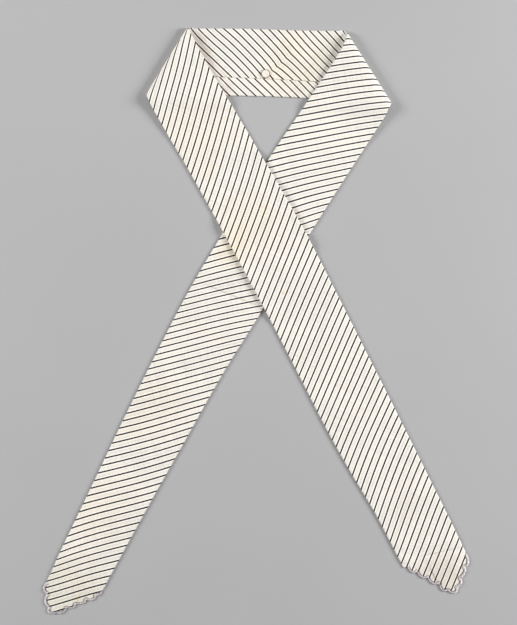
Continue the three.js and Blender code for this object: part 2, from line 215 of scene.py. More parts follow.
Tail = namedtuple(
    "Tail",
    "name origin heading fold edges stripes stripes_at body_end end back_shift back_from seam_side",
)
OVER = Tail(
    name="over_tail",
    origin=(-89.25, 260.4),
    heading=math.radians(-62.0),
    fold=Fold(math.radians(30.2), 39.6, -39.2, 0),
    edges=(
        Edge(-24, -34.7, 34.0),
        Edge(34, -34.6, 34.4),
        Edge(66, -33.7, 36.3),
        Edge(102, -32.0, 38.0),
        Edge(162, -30.7, 40.3),
        Edge(222, -30.2, 41.9),
        Edge(282, -30.2, 40.9),
        Edge(342, -30.8, 39.6),
        Edge(402, -31.8, 38.3),
        Edge(452, -30.6, 37.0),
        Edge(500, -28.3, 35.7),
        Edge(590, -29.7, 33.2),
    ),
    stripes=OVER_STRIPES,
    stripes_at=OVER_STRIPES_AT,
    body_end=545.0,
    end=(
        Scallop(553.5, -29.2, 2.2, 0.62, False),
        Scallop(559.6, -25.5, 2.2, 0.58, True),
        Scallop(569.0, -19.2, 2.0, 0.54, True),
        Scallop(579.0, -12.6, 2.3, 0.56, True),
        Scallop(589.5, -5.5, 2.75, 0.55, True),
        Scallop(599.9, -0.5, 4.4, 0.52, True),
        Scallop(601.3, 10.0, 1.9, 0.55, True),
        Scallop(594.6, 17.1, 1.6, 0.6, True),
        Scallop(586.8, 26.0, 2.7, 0.42, True),
        Scallop(576.0, 33.2, 0, 0, False),
    ),
    back_shift=Shift(0.8, 0.4),
    back_from=(-6, 8),
    seam_side="west",
)
UNDER = Tail(
    name="under_tail",
    origin=(113.0, 254.0),
    heading=math.radians(-119.15),
    fold=Fold(math.radians(-28.6), 41.2, -42.3, 2.7),
    edges=(
        Edge(-24, -33.0, 37.4),
        Edge(8, -33.4, 37.3),
        Edge(30, -35.0, 37.9),
        Edge(64, -37.6, 35.7),
        Edge(112, -41.9, 32.5),
        Edge(160, -44.6, 29.8),
        Edge(220, -47.1, 27.0),
        Edge(280, -48.5, 24.2),
        Edge(340, -47.0, 21.3),
        Edge(420, -43.3, 21.0),
        Edge(500, -38.2, 20.9),
        Edge(620, -30.9, 22.2),
    ),
    stripes=UNDER_STRIPES,
    stripes_at=UNDER_STRIPES_AT,
    body_end=575.0,
    end=(
        Scallop(606.3, -31.2, 2.8, 0.53, True),
        Scallop(616.9, -25.1, 2.4, 0.51, True),
        Scallop(627.6, -17.2, 3.9, 0.4, True),
        Scallop(628.7, -6.8, 2.0, 0.42, True),
        Scallop(620.1, -0.4, 1.8, 0.63, True),
        Scallop(612.3, 5.7, 1.6, 0.68, True),
        Scallop(602.9, 12.7, 2.2, 0.53, True),
        Scallop(594.5, 19.4, 1.0, 0.5, True),
        Scallop(588.0, 22.4, 0, 0, False),
    ),
    back_shift=Shift(0.7, -0.2),
    back_from=(2, -10),
    seam_side="east",
)

# Soft creases: a ridge or, where height is below zero, a trough between two points of the table.
# LIFTS raise the over tail off the one below, and the hidden ones are in the undersides.
NECK_CREASES = (
    Crease(15, 250, 41, 277, 0.7, 2.2),
    Crease(8, 256, 22, 268, -0.4, 2.5),
    Crease(34, 262, 52, 284, -0.3, 3.5),
    Crease(-46, 236, -20, 262, 0.25, 5),
    Crease(48, 246, 70, 280, 0.3, 4),
    Crease(-30, 288, 10, 281, 0.25, 4),
)
OVER_CREASES = (
    Crease(154, -233, 209, -226, -0.5, 3.2),
    Crease(160, -226, 206, -217, 0.35, 3.5),
    Crease(118, -150, 150, -128, 0.3, 6),
    Crease(-64, 205, -30, 222, 0.3, 7),
    Crease(-22, 120, 18, 142, -0.25, 6),
    Crease(58, -20, 92, 2, 0.25, 7),
    Crease(86, -86, 120, -60, -0.2, 5),
    Crease(128, -196, 140, -176, 0.4, 3),
    Crease(22, 62, 40, 20, 0.3, 5),
)
LIFTS = (
    Crease(-36, 84, 4, 16, 1.35, 9),
    Crease(14, 156, 56, 84, 1.1, 8),
)
UNDER_CREASES = (
    Crease(-57, 37, 6, 12, -0.5, 1.8),
    Crease(-60, 31, -4, 9, 0.35, 2.4),
    Crease(70, 180, 100, 196, 0.3, 7),
    Crease(40, 150, 62, 128, 0.25, 6),
    Crease(-122, -82, -72, -78, 0.3, 7),
    Crease(-150, -150, -110, -142, -0.25, 6),
    Crease(-178, -232, -140, -222, 0.3, 5),
    Crease(-204, -262, -168, -256, -0.3, 4),
)
HIDDEN_CREASES = (
    Crease(-60, 262, -20, 240, 0.3, 5),
    Crease(-5, 232, 30, 260, 0.35, 4),
    Crease(44, 282, 66, 248, 0.3, 5),
    Crease(-20, 150, 10, 128, 0.3, 6),
    Crease(40, -10, 90, 0, 0.35, 5),
    Crease(100, -110, 132, -84, 0.3, 5),
    Crease(-30, -20, -70, 6, 0.3, 6),
    Crease(-150, -130, -112, -144, 0.35, 5),
    Crease(-180, -216, -150, -226, 0.3, 4),
)


def smooth_read(table, column, at):
    """Value of a column at a place in a short table, on a smooth curve through its rows."""
    last = len(table) - 2
    i = 0
    while i < last and at > table[i + 1][0]:
        i += 1
    p, q = table[i], table[i + 1]
    before, after = table[max(i - 1, 0)], table[min(i + 2, last + 1)]
    span = q[0] - p[0]
    t = min(max((at - p[0]) / span, 0.0), 1.0)
    p_value, q_value = getattr(p, column), getattr(q, column)
    slope_p = (q_value - getattr(before, column)) / (q[0] - before[0]) * span
    slope_q = (getattr(after, column) - p_value) / (after[0] - p[0]) * span
    t2, t3 = t * t, t * t * t
    return (
        (2 * t3 - 3 * t2 + 1) * p_value
        + (t3 - 2 * t2 + t) * slope_p
        + (3 * t2 - 2 * t3) * q_value
        + (t3 - t2) * slope_q
    )


def smoothstep(value, low, high):
    t = min(max((value - low) / (high - low), 0.0), 1.0)
    return t * t * (3 - 2 * t)


def lerp(a, b, t):
    return a + (b - a) * t


def mix(p, q, t):
    return (lerp(p[0], q[0], t), lerp(p[1], q[1], t))


def inward_of(run):
    """The direction into the cloth, square to a run along its rim."""
    return Vector((-run.y, run.x))


def three_point(places, values, at):
    """Value at a place on the parabola through three values."""
    (a, b, c), (va, vb, vc) = places, values
    return (
        va * (at - b) * (at - c) / ((a - b) * (a - c))
        + vb * (at - a) * (at - c) / ((b - a) * (b - c))
        + vc * (at - a) * (at - b) / ((c - a) * (c - b))
    )


# A tail's own frame: along runs down its length from the fold, across is square to it


def to_table(tail, along, across):
    cos, sin = math.cos(tail.heading), math.sin(tail.heading)
    x, y = tail.origin
    return (x + along * cos - across * sin, y + along * sin + across * cos)


def from_table(tail, x, y):
    cos, sin = math.cos(tail.heading), math.sin(tail.heading)
    dx, dy = x - tail.origin[0], y - tail.origin[1]
    return (dx * cos + dy * sin, dy * cos - dx * sin)


def fold_frame(tail, depth, place):
    """Along and across of a point at a depth inside the fold line and a place along it."""
    cos, sin = math.cos(tail.fold.lean), math.sin(tail.fold.lean)
    return (depth * cos + place * sin, depth * sin - place * cos)


def depth_in_fold(tail, x, y):
    along, across = from_table(tail, x, y)
    return along * math.cos(tail.fold.lean) + across * math.sin(tail.fold.lean)


def edges_at_depth(tail, depth):
    """Where a line at a depth inside the fold meets the two long edges of a tail."""
    cos, sin = math.cos(tail.fold.lean), math.sin(tail.fold.lean)
    places = []
    for side in ("west", "east"):
        along = depth
        for _ in range(EDGE_TRIES):
            along = (depth - smooth_read(tail.edges, side, along) * sin) / cos
        places.append(along)
    return places


def tail_sides(tail, along):
    """How far across the two long edges of a tail lie."""
    return smooth_read(tail.edges, "west", along), smooth_read(tail.edges, "east", along)


def neck_sides(x):
    """How far up the table the neckband's lower and upper edges lie."""
    return smooth_read(NECK_BOTTOM, "y", x), smooth_read(NECK_TOP, "y", x)


def seam_share(seam_side):
    return SEAM_SHARE if seam_side == "west" else 1 - SEAM_SHARE


# Heights


def drape(past_edge):
    """1 on a support and just past its edge, down to 0 where the cloth is on the table."""
    return 1 - smoothstep(past_edge, OVERHANG, OVERHANG + DRAPE)


def on_neck(x, y):
    return REST_ON_NECK * drape(neck_sides(x)[0] - y)


def on_under_tail(x, y):
    along, across = from_table(UNDER, x, y)
    west, east = tail_sides(UNDER, along)
    return REST_ON_TAIL * drape(max(west - across, across - east))


def underside(tail, x, y):
    """Height of a tail's underside: on what lies below it, and held up near its fold."""
    loft = ROLL_HEIGHT - 2 * HALF_TUBE - REST_ON_NECK
    fade = 1 - smoothstep(depth_in_fold(tail, x, y), FOLD_IN + ROLL_OVER, ROLL_FADE)
    support = on_neck(x, y)
    if tail is OVER:
        support = max(support, on_under_tail(x, y)) + crease_height(LIFTS, x, y)
    return max(support, REST) + loft * fade


def half_thickness(distance, half):
    """Half the tube's thickness at a distance in from its folded edge."""
    if distance >= EDGE_ROUND:
        return half
    short = 1 - max(distance, 0.0) / EDGE_ROUND
    return half * math.sqrt(1 - short * short)


def beside_crease(crease, x, y):
    """How far along a crease a point lies, as a share of it, and how far to its side."""
    dx, dy = crease.x1 - crease.x0, crease.y1 - crease.y0
    length = math.hypot(dx, dy)
    ahead = ((x - crease.x0) * dx + (y - crease.y0) * dy) / length
    off = ((x - crease.x0) * dy - (y - crease.y0) * dx) / length
    return ahead / length, off


def crease_height(creases, x, y):
    total = 0.0
    for crease in creases:
        share, off = beside_crease(crease, x, y)
        from_end = min(share, 1 - share)
        if from_end > -CREASE_PAST:
            taper = smoothstep(share, -CREASE_PAST, CREASE_FULL)
            taper *= smoothstep(1 - share, -CREASE_PAST, CREASE_FULL)
            total += crease.height * taper * math.exp(-((off / crease.width) ** 2))
    return total


def ripple(x, y, seed):
    """A slight unevenness of the cloth's surface."""
    return sum(
        height * noise.noise((x / length, y / length, seed + added))
        for length, added, height in RIPPLES
    )


# Which stripe passes where


def along_stripe(along, ring):
    """Place along the stripes, in stripe repeats."""
    return (along * math.cos(STRIPE_SLANT) - ring * math.sin(STRIPE_SLANT)) / PITCH


def tail_grain(tail, panel, along, across):
    """Stripe number and place along the stripe, at a point of a tail's front or underside."""
    west, east = tail_sides(tail, along)
    near, far = (west, east) if tail.seam_side == "west" else (east, west)
    ring = {"lap": 2 * near - across, "back": 2 * far - across}.get(panel, across)
    values = [smooth_read(tail.stripes, column, along) for column in ("west", "middle", "east")]
    inside = min(max(ring, west), east)
    count = three_point(tail.stripes_at, values, inside) + STRIPE_SLOPE * (ring - inside)
    return (count, along_stripe(along, ring))


def dragged(x, y):
    """Stripes' shift where the button has pulled them to a point along a crease."""
    share, off = beside_crease(DRAG, x, y)
    behind = max(share, 0.0)
    fade = smoothstep(share, *DRAG_GROWS) * (1 - smoothstep(share, *DRAG_FADES))
    distance = math.hypot(off, DRAG_BLUNT + DRAG_SPREAD * behind)
    return DRAG.height * fade * math.exp(-distance / (DRAG.width * (1 + behind)))


def inside_count(x, y):
    values = [smooth_read(NECK_STRIPES, column, x) for column in ("top", "middle", "low")]
    return three_point(NECK_HEIGHTS, values, y) + dragged(x, y)


def lap_count(x, y):
    return smooth_read(NECK_STRIPES, "lap", x) + LAP_PITCH * (y - LAP_HEIGHT)


def neck_grain(panel, x, y):
    """Stripe number and place along the stripe, at a point of the neckband."""
    bottom, top = neck_sides(x)
    ring = y
    if panel == "inside":
        count = inside_count(x, y)
    elif panel == "lap":
        count = lap_count(x, y)
    else:
        share = (top - y) / (top - bottom)
        count = lerp(inside_count(x, top), lap_count(x, bottom) + OUTSIDE_TURNS, share)
        ring = 2 * top - y
    return (count, along_stripe(x, ring))


# Sections. A station is a place round the flat tube: a share of its width plus an inset, on
# its upper (1) or lower (-1) side or at a folded edge (0), the panel that starts there, and
# how far it is raised, from 0 beside the lap to 1 on it.

Station = namedtuple("Station", "share inset side panel raised")


def tube_stations(inner, upper, lower, seam_side, seam_on_top):
    """Stations round the tube from its first edge, over the top, and back underneath."""
    turned_up = [Station(0, inset, 1 if inset else 0, upper, 0) for inset in EDGE_INSETS]
    turned_down = [Station(1, -inset, 1, upper, 0) for inset in EDGE_INSETS[:0:-1]]
    top = turned_up + [Station(t, 0, 1, upper, 0) for t in inner] + turned_down
    full = 1 if seam_on_top else 0  # with no lap below, the whole underside is at full depth
    edge = [Station(1, -inset, -1 if inset else 0, lower, full) for inset in EDGE_INSETS]
    back = [Station(0, inset, -1, lower, full) for inset in EDGE_INSETS[:0:-1]]
    under = edge + [Station(t, 0, -1, lower, full) for t in reversed(inner)] + back
    if seam_on_top:
        top = lap_over(top, seam_side, 1)
    else:
        under = lap_over(under, seam_side, -1)
    return top + under


def lap_over(stations, seam_side, side):
    """Raises the stations on the lap's side of the seam, with a small step at its edge."""
    seam = seam_share(seam_side)
    toward = -1 if seam_side == "west" else 1
    clear = [s for s in stations if abs(s.share - seam) > SEAM_CLEAR]
    in_lap = [(s.share - seam) * toward > 0 for s in clear]
    lapped = [
        s._replace(panel="lap", raised=1) if inside else s for s, inside in zip(clear, in_lap)
    ]
    crossing = in_lap.index(not in_lap[0])
    step = [
        Station("seam", toward * LAP_FOLD, side, "lap", 1.0),
        Station("seam", toward * LAP_FOLD * STEP_ROUND, side, "lap", 1 - STEP_ROUND),
        Station("seam", 0.0, side, clear[0].panel, 0.0),
    ]
    if not in_lap[0]:
        step = [part._replace(panel="lap") for part in reversed(step)]
    return lapped[:crossing] + step + lapped[crossing:]


# A row is one section: its line on the table and on the flat tube, and the tube's middle there
Row = namedtuple("Row", "plan flat width normal middle half seam")


def width_share(row, station):
    share = row.seam if station.share == "seam" else station.share
    return share + station.inset / row.width


def ring_points(row, stations, creases, hidden, seed):
    """Points of one ring of the tube, in millimetres."""
    points = []
    for station in stations:
        t = width_share(row, station)
        x, y = row.plan(t)
        inset = min(t, 1 - t) * row.width
        thick = half_thickness(inset, row.half)
        away = smoothstep(inset, *CALM_EDGE)
        if station.side >= 0:
            change = crease_height(creases, x, y) + ripple(x, y, seed)
            lap = LAP_STEP * station.raised * station.side
            reach = station.side * thick + lap + away * max(change, -DEEPEST * thick)
        else:
            change = crease_height(hidden, x, y) + ripple(x, y, seed + UNDERSIDE_SEED)
            recess = min(LAP_STEP, LAP_SINK * thick) * (1 - station.raised)
            reach = -thick + recess + away * max(change + LIFT_BELOW, 0.0)
        nx, ny, nz = row.normal
        points.append((x + reach * nx, y + reach * ny, row.middle(x, y) + reach * nz))
    return points


def straight(west, east):
    return lambda t: mix(west, east, t)


def nose_arc(reach, angle):
    """Length of cloth round the roll, from its outermost line to an angle."""
    arc = 0.0
    for k in range(ARC_STEPS):
        turn = angle * (k + 0.5) / ARC_STEPS
        arc += math.hypot(reach * math.sin(turn), NOSE_RISE * math.cos(turn))
    return arc * angle / ARC_STEPS


def nose_row(tail, degrees, facing):
    """A row at an angle round the nose of a fold: -90 is its lower side and 90 its upper."""
    angle = math.radians(degrees)
    reach = ROLL_OVER if degrees > 0 else ROLL_UNDER
    arc = nose_arc(reach, angle)
    slide = arc * math.tan(tail.fold.lean)
    drawn_in = tail.fold.tuck * math.sin(angle)
    depth = FOLD_IN + reach * (1 - math.cos(angle))
    places = (tail.fold.west + slide - drawn_in, tail.fold.east + slide)
    plan = [to_table(tail, *fold_frame(tail, depth, place)) for place in places]
    inward = tail.heading + tail.fold.lean
    out = Vector((-math.cos(angle) / reach, math.sin(angle) / NOSE_RISE)).normalized()
    out *= facing
    normal = (out.x * math.cos(inward), out.x * math.sin(inward), out.y)
    if facing > 0:
        gathered = ROLLED_MORE * (1 - math.sin(angle)) ** GATHER_BEND
        unrolled = FOLD_IN + ROLL_OVER - nose_arc(ROLL_OVER, math.pi / 2) + arc - gathered
        flat = [fold_frame(tail, unrolled, place) for place in places]
        seam = seam_share(tail.seam_side)
    else:
        unrolled = FOLD_IN + ROLL_UNDER + nose_arc(ROLL_UNDER, -math.pi / 2) - arc
        flat = [to_table(tail, *fold_frame(tail, unrolled, place)) for place in places]
        if tail is UNDER:
            plan.reverse()
            flat.reverse()
        seam = smooth_read(NECK_SEAM, "y", plan[0][0])
    height = NOSE_MIDDLE + NOSE_RISE * math.sin(angle)
    width = math.dist(*plan)
    return Row(straight(*plan), straight(*flat), width, normal, lambda x, y: height, HALF_TUBE, seam)


def flat_row(tail, along_west, along_east):
    """A row straight across a tail, on what lies below it."""
    flat = (
        (along_west, smooth_read(tail.edges, "west", along_west)),
        (along_east, smooth_read(tail.edges, "east", along_east)),
    )
    plan = [to_table(tail, *point) for point in flat]
    return Row(
        straight(*plan),
        straight(*flat),
        math.dist(*plan),
        (0, 0, 1),
        lambda x, y: underside(tail, x, y) + HALF_TUBE,
        HALF_TUBE,
        seam_share(tail.seam_side),
    )


def end_row(tail, line, shares, amount):
    """A row between the last straight one and the line of the scallops."""
    body = flat_row(tail, tail.body_end, tail.body_end)

    def flat(t):
        k = 0
        while k < len(shares) - 2 and t > shares[k + 1]:
            k += 1
        part = (t - shares[k]) / (shares[k + 1] - shares[k])
        return mix(body.flat(t), mix(line[k], line[k + 1], part), amount)

    half = lerp(HALF_TUBE, END_HALF, smoothstep(amount, THIN_FROM, 1.0))
    return body._replace(
        plan=lambda t: to_table(tail, *flat(t)),
        flat=flat,
        middle=lambda x, y: underside(tail, x, y) + half,
        half=half,
    )


def scallop_line(tail, inset, steps, back=False, stitched=False):
    """The rim of one layer's scallops, in the tail's frame and moved in by an inset."""
    rim = []
    for start, stop in zip(tail.end, tail.end[1:]):
        if stitched and not start.stitched:
            continue
        first = Vector((start.along, start.across))
        chord = Vector((stop.along, stop.across)) - first
        outward = Vector((chord.y, -chord.x)).normalized()
        bend = math.log(0.5) / math.log(start.peak)
        for k in range(steps):
            t = k / steps
            full = math.sin(math.pi * t**bend) ** SCALLOP_FULLNESS
            out = (start.bulge + NOTCH_CUT) * full - NOTCH_CUT
            rim.append(first + t * chord + out * outward)
    rim.append(Vector((tail.end[-1].along, tail.end[-1].across)))
    if back:
        shift = Vector(tail.back_shift)
        rim = [spot + shift * smoothstep(spot.y, *tail.back_from) for spot in rim]
    line = []
    for i, spot in enumerate(rim):
        run = (rim[min(i + 1, len(rim) - 1)] - rim[max(i - 1, 0)]).normalized()
        line.append(spot + inset * inward_of(run))
    return line


def column_shares(tail):
    """Shares of the width where a tail has columns: they run to the steps of its scallops."""
    shares = []
    west, east = tail.end[0].across, tail.end[-1].across
    for start, stop in zip(tail.end, tail.end[1:]):
        for k in range(SCALLOP_STEPS):
            across = lerp(start.across, stop.across, k / SCALLOP_STEPS)
            shares.append((across - west) / (east - west))
    return shares + [1.0]


# Meshes


class Shell:
    """Rings of points skinned into a tube, with a grain for each corner of each face."""

    def __init__(self, stations, grain):
        self.stations = stations
        self.grain = grain
        self.points = []
        self.flats = []

    def add(self, row, back=None, **surface):
        """Adds a ring; with a back row, its lower layer is taken from that."""
        points = ring_points(row, self.stations, **surface)
        flats = self.flat_places(row)
        if back is not None:
            low = ring_points(back, self.stations, **surface)
            low_flats = self.flat_places(back)
            for j, station in enumerate(self.stations):
                if station.side < 0:
                    points[j], flats[j] = low[j], low_flats[j]
        self.points.extend(points)
        self.flats.append(flats)

    def flat_places(self, row):
        return [row.flat(width_share(row, station)) for station in self.stations]

    def build(self, name):
        n = len(self.stations)
        faces, grains = [], []
        for i in range(len(self.flats) - 1):
            for j, station in enumerate(self.stations):
                k = (j + 1) % n
                faces.append((i * n + j, (i + 1) * n + j, (i + 1) * n + k, i * n + k))
                for row, column in ((i, j), (i + 1, j), (i + 1, k), (i, k)):
                    grains.append(self.grain(station.panel, *self.flats[row][column]))
        mesh = bpy.data.meshes.new(name)
        mesh.from_pydata([tuple(v * MM for v in p) for p in self.points], [], faces)
        layer = mesh.uv_layers.new(name="cloth_grain")
        layer.data.foreach_set("uv", [value for pair in grains for value in pair])
        return link_mesh(name, mesh)


def smooth_faces(mesh):
    for face in mesh.polygons:
        face.use_smooth = True


def link_mesh(name, mesh):
    obj = bpy.data.objects.new(name, mesh)
    bpy.context.scene.collection.objects.link(obj)
    smooth_faces(mesh)
    return obj


def apply_modifier(obj, kind, name, **values):
    modifier = obj.modifiers.new(name, kind)
    for key, value in values.items():
        setattr(modifier, key, value)
    bpy.ops.object.select_all(action="DESELECT")
    obj.select_set(True)
    bpy.context.view_layer.objects.active = obj
    bpy.ops.object.modifier_apply(modifier=modifier.name)


def finish_cloth(obj, material, nodes):
    thickness = bpy.context.scene.cravat_cloth.thickness
    apply_modifier(obj, "SOLIDIFY", "Cloth", thickness=thickness, offset=-1.0)
    for vertex in obj.data.vertices:
        vertex.co.z = max(vertex.co.z, LOWEST_CLOTH * MM)
    obj.data.materials.append(material)
    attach(obj, "root")
    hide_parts(*nodes)


def neck_row(low_x, high_x):
    """A row of the neckband, from its lower edge to its upper one."""
    ends = ((low_x, neck_sides(low_x)[0]), (high_x, neck_sides(high_x)[1]))
    line = straight(*ends)
    seam = smooth_read(NECK_SEAM, "y", low_x)
    return Row(line, line, math.dist(*ends), (0, 0, 1), lambda x, y: NOSE_LOW, HALF_TUBE, seam)


def neckband_shell():
    inner = [k / NECK_COLUMNS for k in range(1, NECK_COLUMNS)]
    shell = Shell(tube_stations(inner, "inside", "outside", "west", True), neck_grain)
    left = [nose_row(OVER, angle, -1) for angle in NECK_TURNS]
    right = [nose_row(UNDER, angle, -1) for angle in reversed(NECK_TURNS)]
    start = [left[-1].plan(t)[0] for t in (0, 1)]
    stop = [right[0].plan(t)[0] for t in (0, 1)]
    steps = round((stop[0] - start[0]) / ROW_STEP)
    between = [neck_row(*mix(start, stop, i / steps)) for i in range(1, steps)]
    for row in left + between + right:
        shell.add(row, creases=NECK_CREASES, hidden=HIDDEN_CREASES, seed=2.0)
    return shell.build("neckband_cloth")


def neck_seam_path():
    points = []
    x, stop = NECK_SEAM_SPAN
    while x < stop:
        y = lerp(*neck_sides(x), smooth_read(NECK_SEAM, "y", x))
        points.append((x, y, TUBE_TOP + SEAM_HEIGHT))
        x += ROW_STEP
    return points


def tail_seam_path(tail):
    points = []
    along = TAIL_SEAM_START
    while along < tail.body_end - TAIL_SEAM_STOP:
        across = lerp(*tail_sides(tail, along), seam_share(tail.seam_side))
        x, y = to_table(tail, along, across)
        points.append((x, y, underside(tail, x, y) + SEAM_HEIGHT))
        along += ROW_STEP
    return points


def row_shares(length):
    """Even shares of a length for the rows along it, the last of them 1."""
    steps = round(length / ROW_STEP)
    return [k / steps for k in range(1, steps + 1)]


def tail_rows(tail):
    """Rows from the roll, fanning out of the fold's direction, to the last straight one."""
    rows = [nose_row(tail, angle, 1) for angle in TAIL_TURNS]
    landing = FOLD_IN + ROLL_OVER
    for t in row_shares(FAN_START - landing):
        rows.append(flat_row(tail, *edges_at_depth(tail, lerp(landing, FAN_START, t))))
    fan = edges_at_depth(tail, FAN_START)
    for t in row_shares(FAN_END - min(fan)):
        rows.append(flat_row(tail, *mix(fan, (FAN_END, FAN_END), t)))
    for t in row_shares(tail.body_end - FAN_END):
        along = lerp(FAN_END, tail.body_end, t)
        rows.append(flat_row(tail, along, along))
    return rows


def tail_shell(tail, creases, seed):
    shares = column_shares(tail)
    width = tail.end[-1].across - tail.end[0].across
    rim = (EDGE_ROUND + EDGE_CLEAR) / width
    inner = [share for share in shares if rim < share < 1 - rim]
    stations = tube_stations(inner, "front", "back", tail.seam_side, False)
    shell = Shell(stations, lambda panel, *place: tail_grain(tail, panel, *place))
    surface = {"creases": creases, "hidden": HIDDEN_CREASES, "seed": seed}
    for row in tail_rows(tail):
        shell.add(row, **surface)
    front = scallop_line(tail, CLOTH_INSET, SCALLOP_STEPS)
    back = scallop_line(tail, CLOTH_INSET, SCALLOP_STEPS, back=True)
    for k in range(1, END_ROWS + 1):
        layers = (end_row(tail, line, shares, k / END_ROWS) for line in (front, back))
        shell.add(*layers, **surface)
    return shell.build(f"{tail.name}_cloth")


# Threads

# Buttonhole stitches, in millimetres
STITCH_SPACING = 0.5
STITCH_DEPTH = 1.2
STITCH_RADIUS = 0.2
STITCH_LIFTS = (-0.05, 0.34, 0.1, -0.2, -0.3)  # from its inner end over the top and back below
STITCH_SINK = 0.1  # the front stitches sit this far into the cloth
LEAN_MIDWAY = 0.6  # share of its lean that a stitch has at its middle
PURL_RADIUS = 0.27  # of the cord that their loops make along the rim
RIM_STEPS = 12  # points to a scallop
LINE_RADIUS = 0.27
LINE_DEPTH = 1.6  # painted shade: a darker thread runs along the inner ends of the stitches, where their feet pull into the cloth
LINE_LIFT = 0.28
NOTCH_REACH = 1.1  # and goes this much further in, within about this distance of a notch
LOWEST_THREAD = 0.32  # no thread's middle line lies lower than this
FRONT_SEED = 4.0
BACK_SEED = 11.0

# Stitches of the lapped seam
SEAM_STITCH = 1.1
SEAM_SPACING = 2.7
SEAM_RADIUS = 0.11
SEAM_SLANT = (0.8, 0.6)  # shares of a seam stitch along the seam and across it
SEAM_LIFTS = ((-1, -0.12), (-0.5, 0.5), (0.5, 0.8), (1, -0.12))  # places, heights in radii
# A dark cord along the neckband's lap edge: partly thread, partly painted shade of that edge.
LAP_THREAD_AND_SHADE_RADIUS = 0.24
LAP_THREAD_AND_SHADE_IN = 0.1  # it lies this far down from the lap's edge

# How far the stitches stray in each way, how quickly along the row, and a number of its own
STRAYS = {
    "depth": (0.3, 0.37, 0.0),
    "lean": (0.3, 0.9, 5.0),
    "level": (0.12, 0.21, 9.0),
    "purl": (0.16, 1.7, 2.0),
    "line": (0.3, 0.3, 7.0),
    "seam lean": (0.25, 0.8, 1.0),
    "seam length": (0.3, 0.6, 4.0),
    "lap": (0.25, 1 / 7, 1.0),
}

THREAD_SIDES = 5
UP = Vector((0, 0, 1))
SIDEWAYS = Vector((1, 0.3, 0))
NEARLY_UPRIGHT = 0.05


def stray(way, at, seed):
    """How far a row of stitches strays in one way, at a place along it."""
    amount, pace, own = STRAYS[way]
    return amount * noise.noise((at * pace, seed, own))


class Threads:
    """Thin cords gathered into one mesh, with a place along the thread for each corner."""

    def __init__(self):
        self.points = []
        self.faces = []
        self.runs = []
        self.shades = []

    def add(self, path, radius, shade=0):
        path = [Vector(point) for point in path]
        n = THREAD_SIDES
        base = len(self.points)
        run = 0.0
        lengths = []
        for i, point in enumerate(path):
            ahead = path[min(i + 1, len(path) - 1)] - path[max(i - 1, 0)]
            ahead.normalize()
            side = ahead.cross(UP)
            if side.length < NEARLY_UPRIGHT:
                side = ahead.cross(SIDEWAYS)
            side.normalize()
            rise = side.cross(ahead)
            if i:
                run += (point - path[i - 1]).length
            lengths.append(run)
            for k in range(n):
                turn = 2 * math.pi * k / n
                self.points.append(point + radius * (math.cos(turn) * side + math.sin(turn) * rise))
        for i in range(len(path) - 1):
            for k in range(n):
                m = (k + 1) % n
                a, b = base + i * n, base + (i + 1) * n
                self.faces.append((a + k, a + m, b + m, b + k))
                low, high = lengths[i], lengths[i + 1]
                self.runs += [(low, k / n), (low, (k + 1) / n), (high, (k + 1) / n), (high, k / n)]
        for start, order in ((0, -1), (len(path) - 1, 1)):
            ring = [base + start * n + k for k in range(n)][::order]
            self.faces.append(tuple(ring))
            self.runs += [(lengths[start], 0.0)] * n
        self.shades += [shade] * (len(self.faces) - len(self.shades))

    def build(self, name, *materials):
        mesh = bpy.data.meshes.new(name)
        mesh.from_pydata([tuple(p * MM) for p in self.points], [], self.faces)
        layer = mesh.uv_layers.new(name="thread_run")
        layer.data.foreach_set("uv", [value for pair in self.runs for value in pair])
        for material in materials:
            mesh.materials.append(material)
        mesh.polygons.foreach_set("material_index", self.shades)
        return link_mesh(name, mesh)


def resample(line, spacing):
    """Points at an even spacing along a line, each with its direction."""
    spots = [Vector(point) for point in line]
    gaps = [(b - a).length for a, b in zip(spots, spots[1:])]
    total = sum(gaps)
    count = max(2, round(total / spacing))
    out = []
    i, passed = 0, 0.0
    for k in range(count + 1):
        target = total * k / count
        while i < len(gaps) - 1 and passed + gaps[i] < target:
            passed += gaps[i]
            i += 1
        t = (target - passed) / gaps[i]
        out.append((spots[i].lerp(spots[i + 1], t), (spots[i + 1] - spots[i]).normalized()))
    return out


def smoothed_runs(line):
    """Points of a line, each with the direction between its second neighbours."""
    spots = [spot for spot, _ in line]
    last = len(spots) - 1
    return [
        (spot, (spots[min(i + 2, last)] - spots[max(i - 2, 0)]).normalized())
        for i, spot in enumerate(spots)
    ]


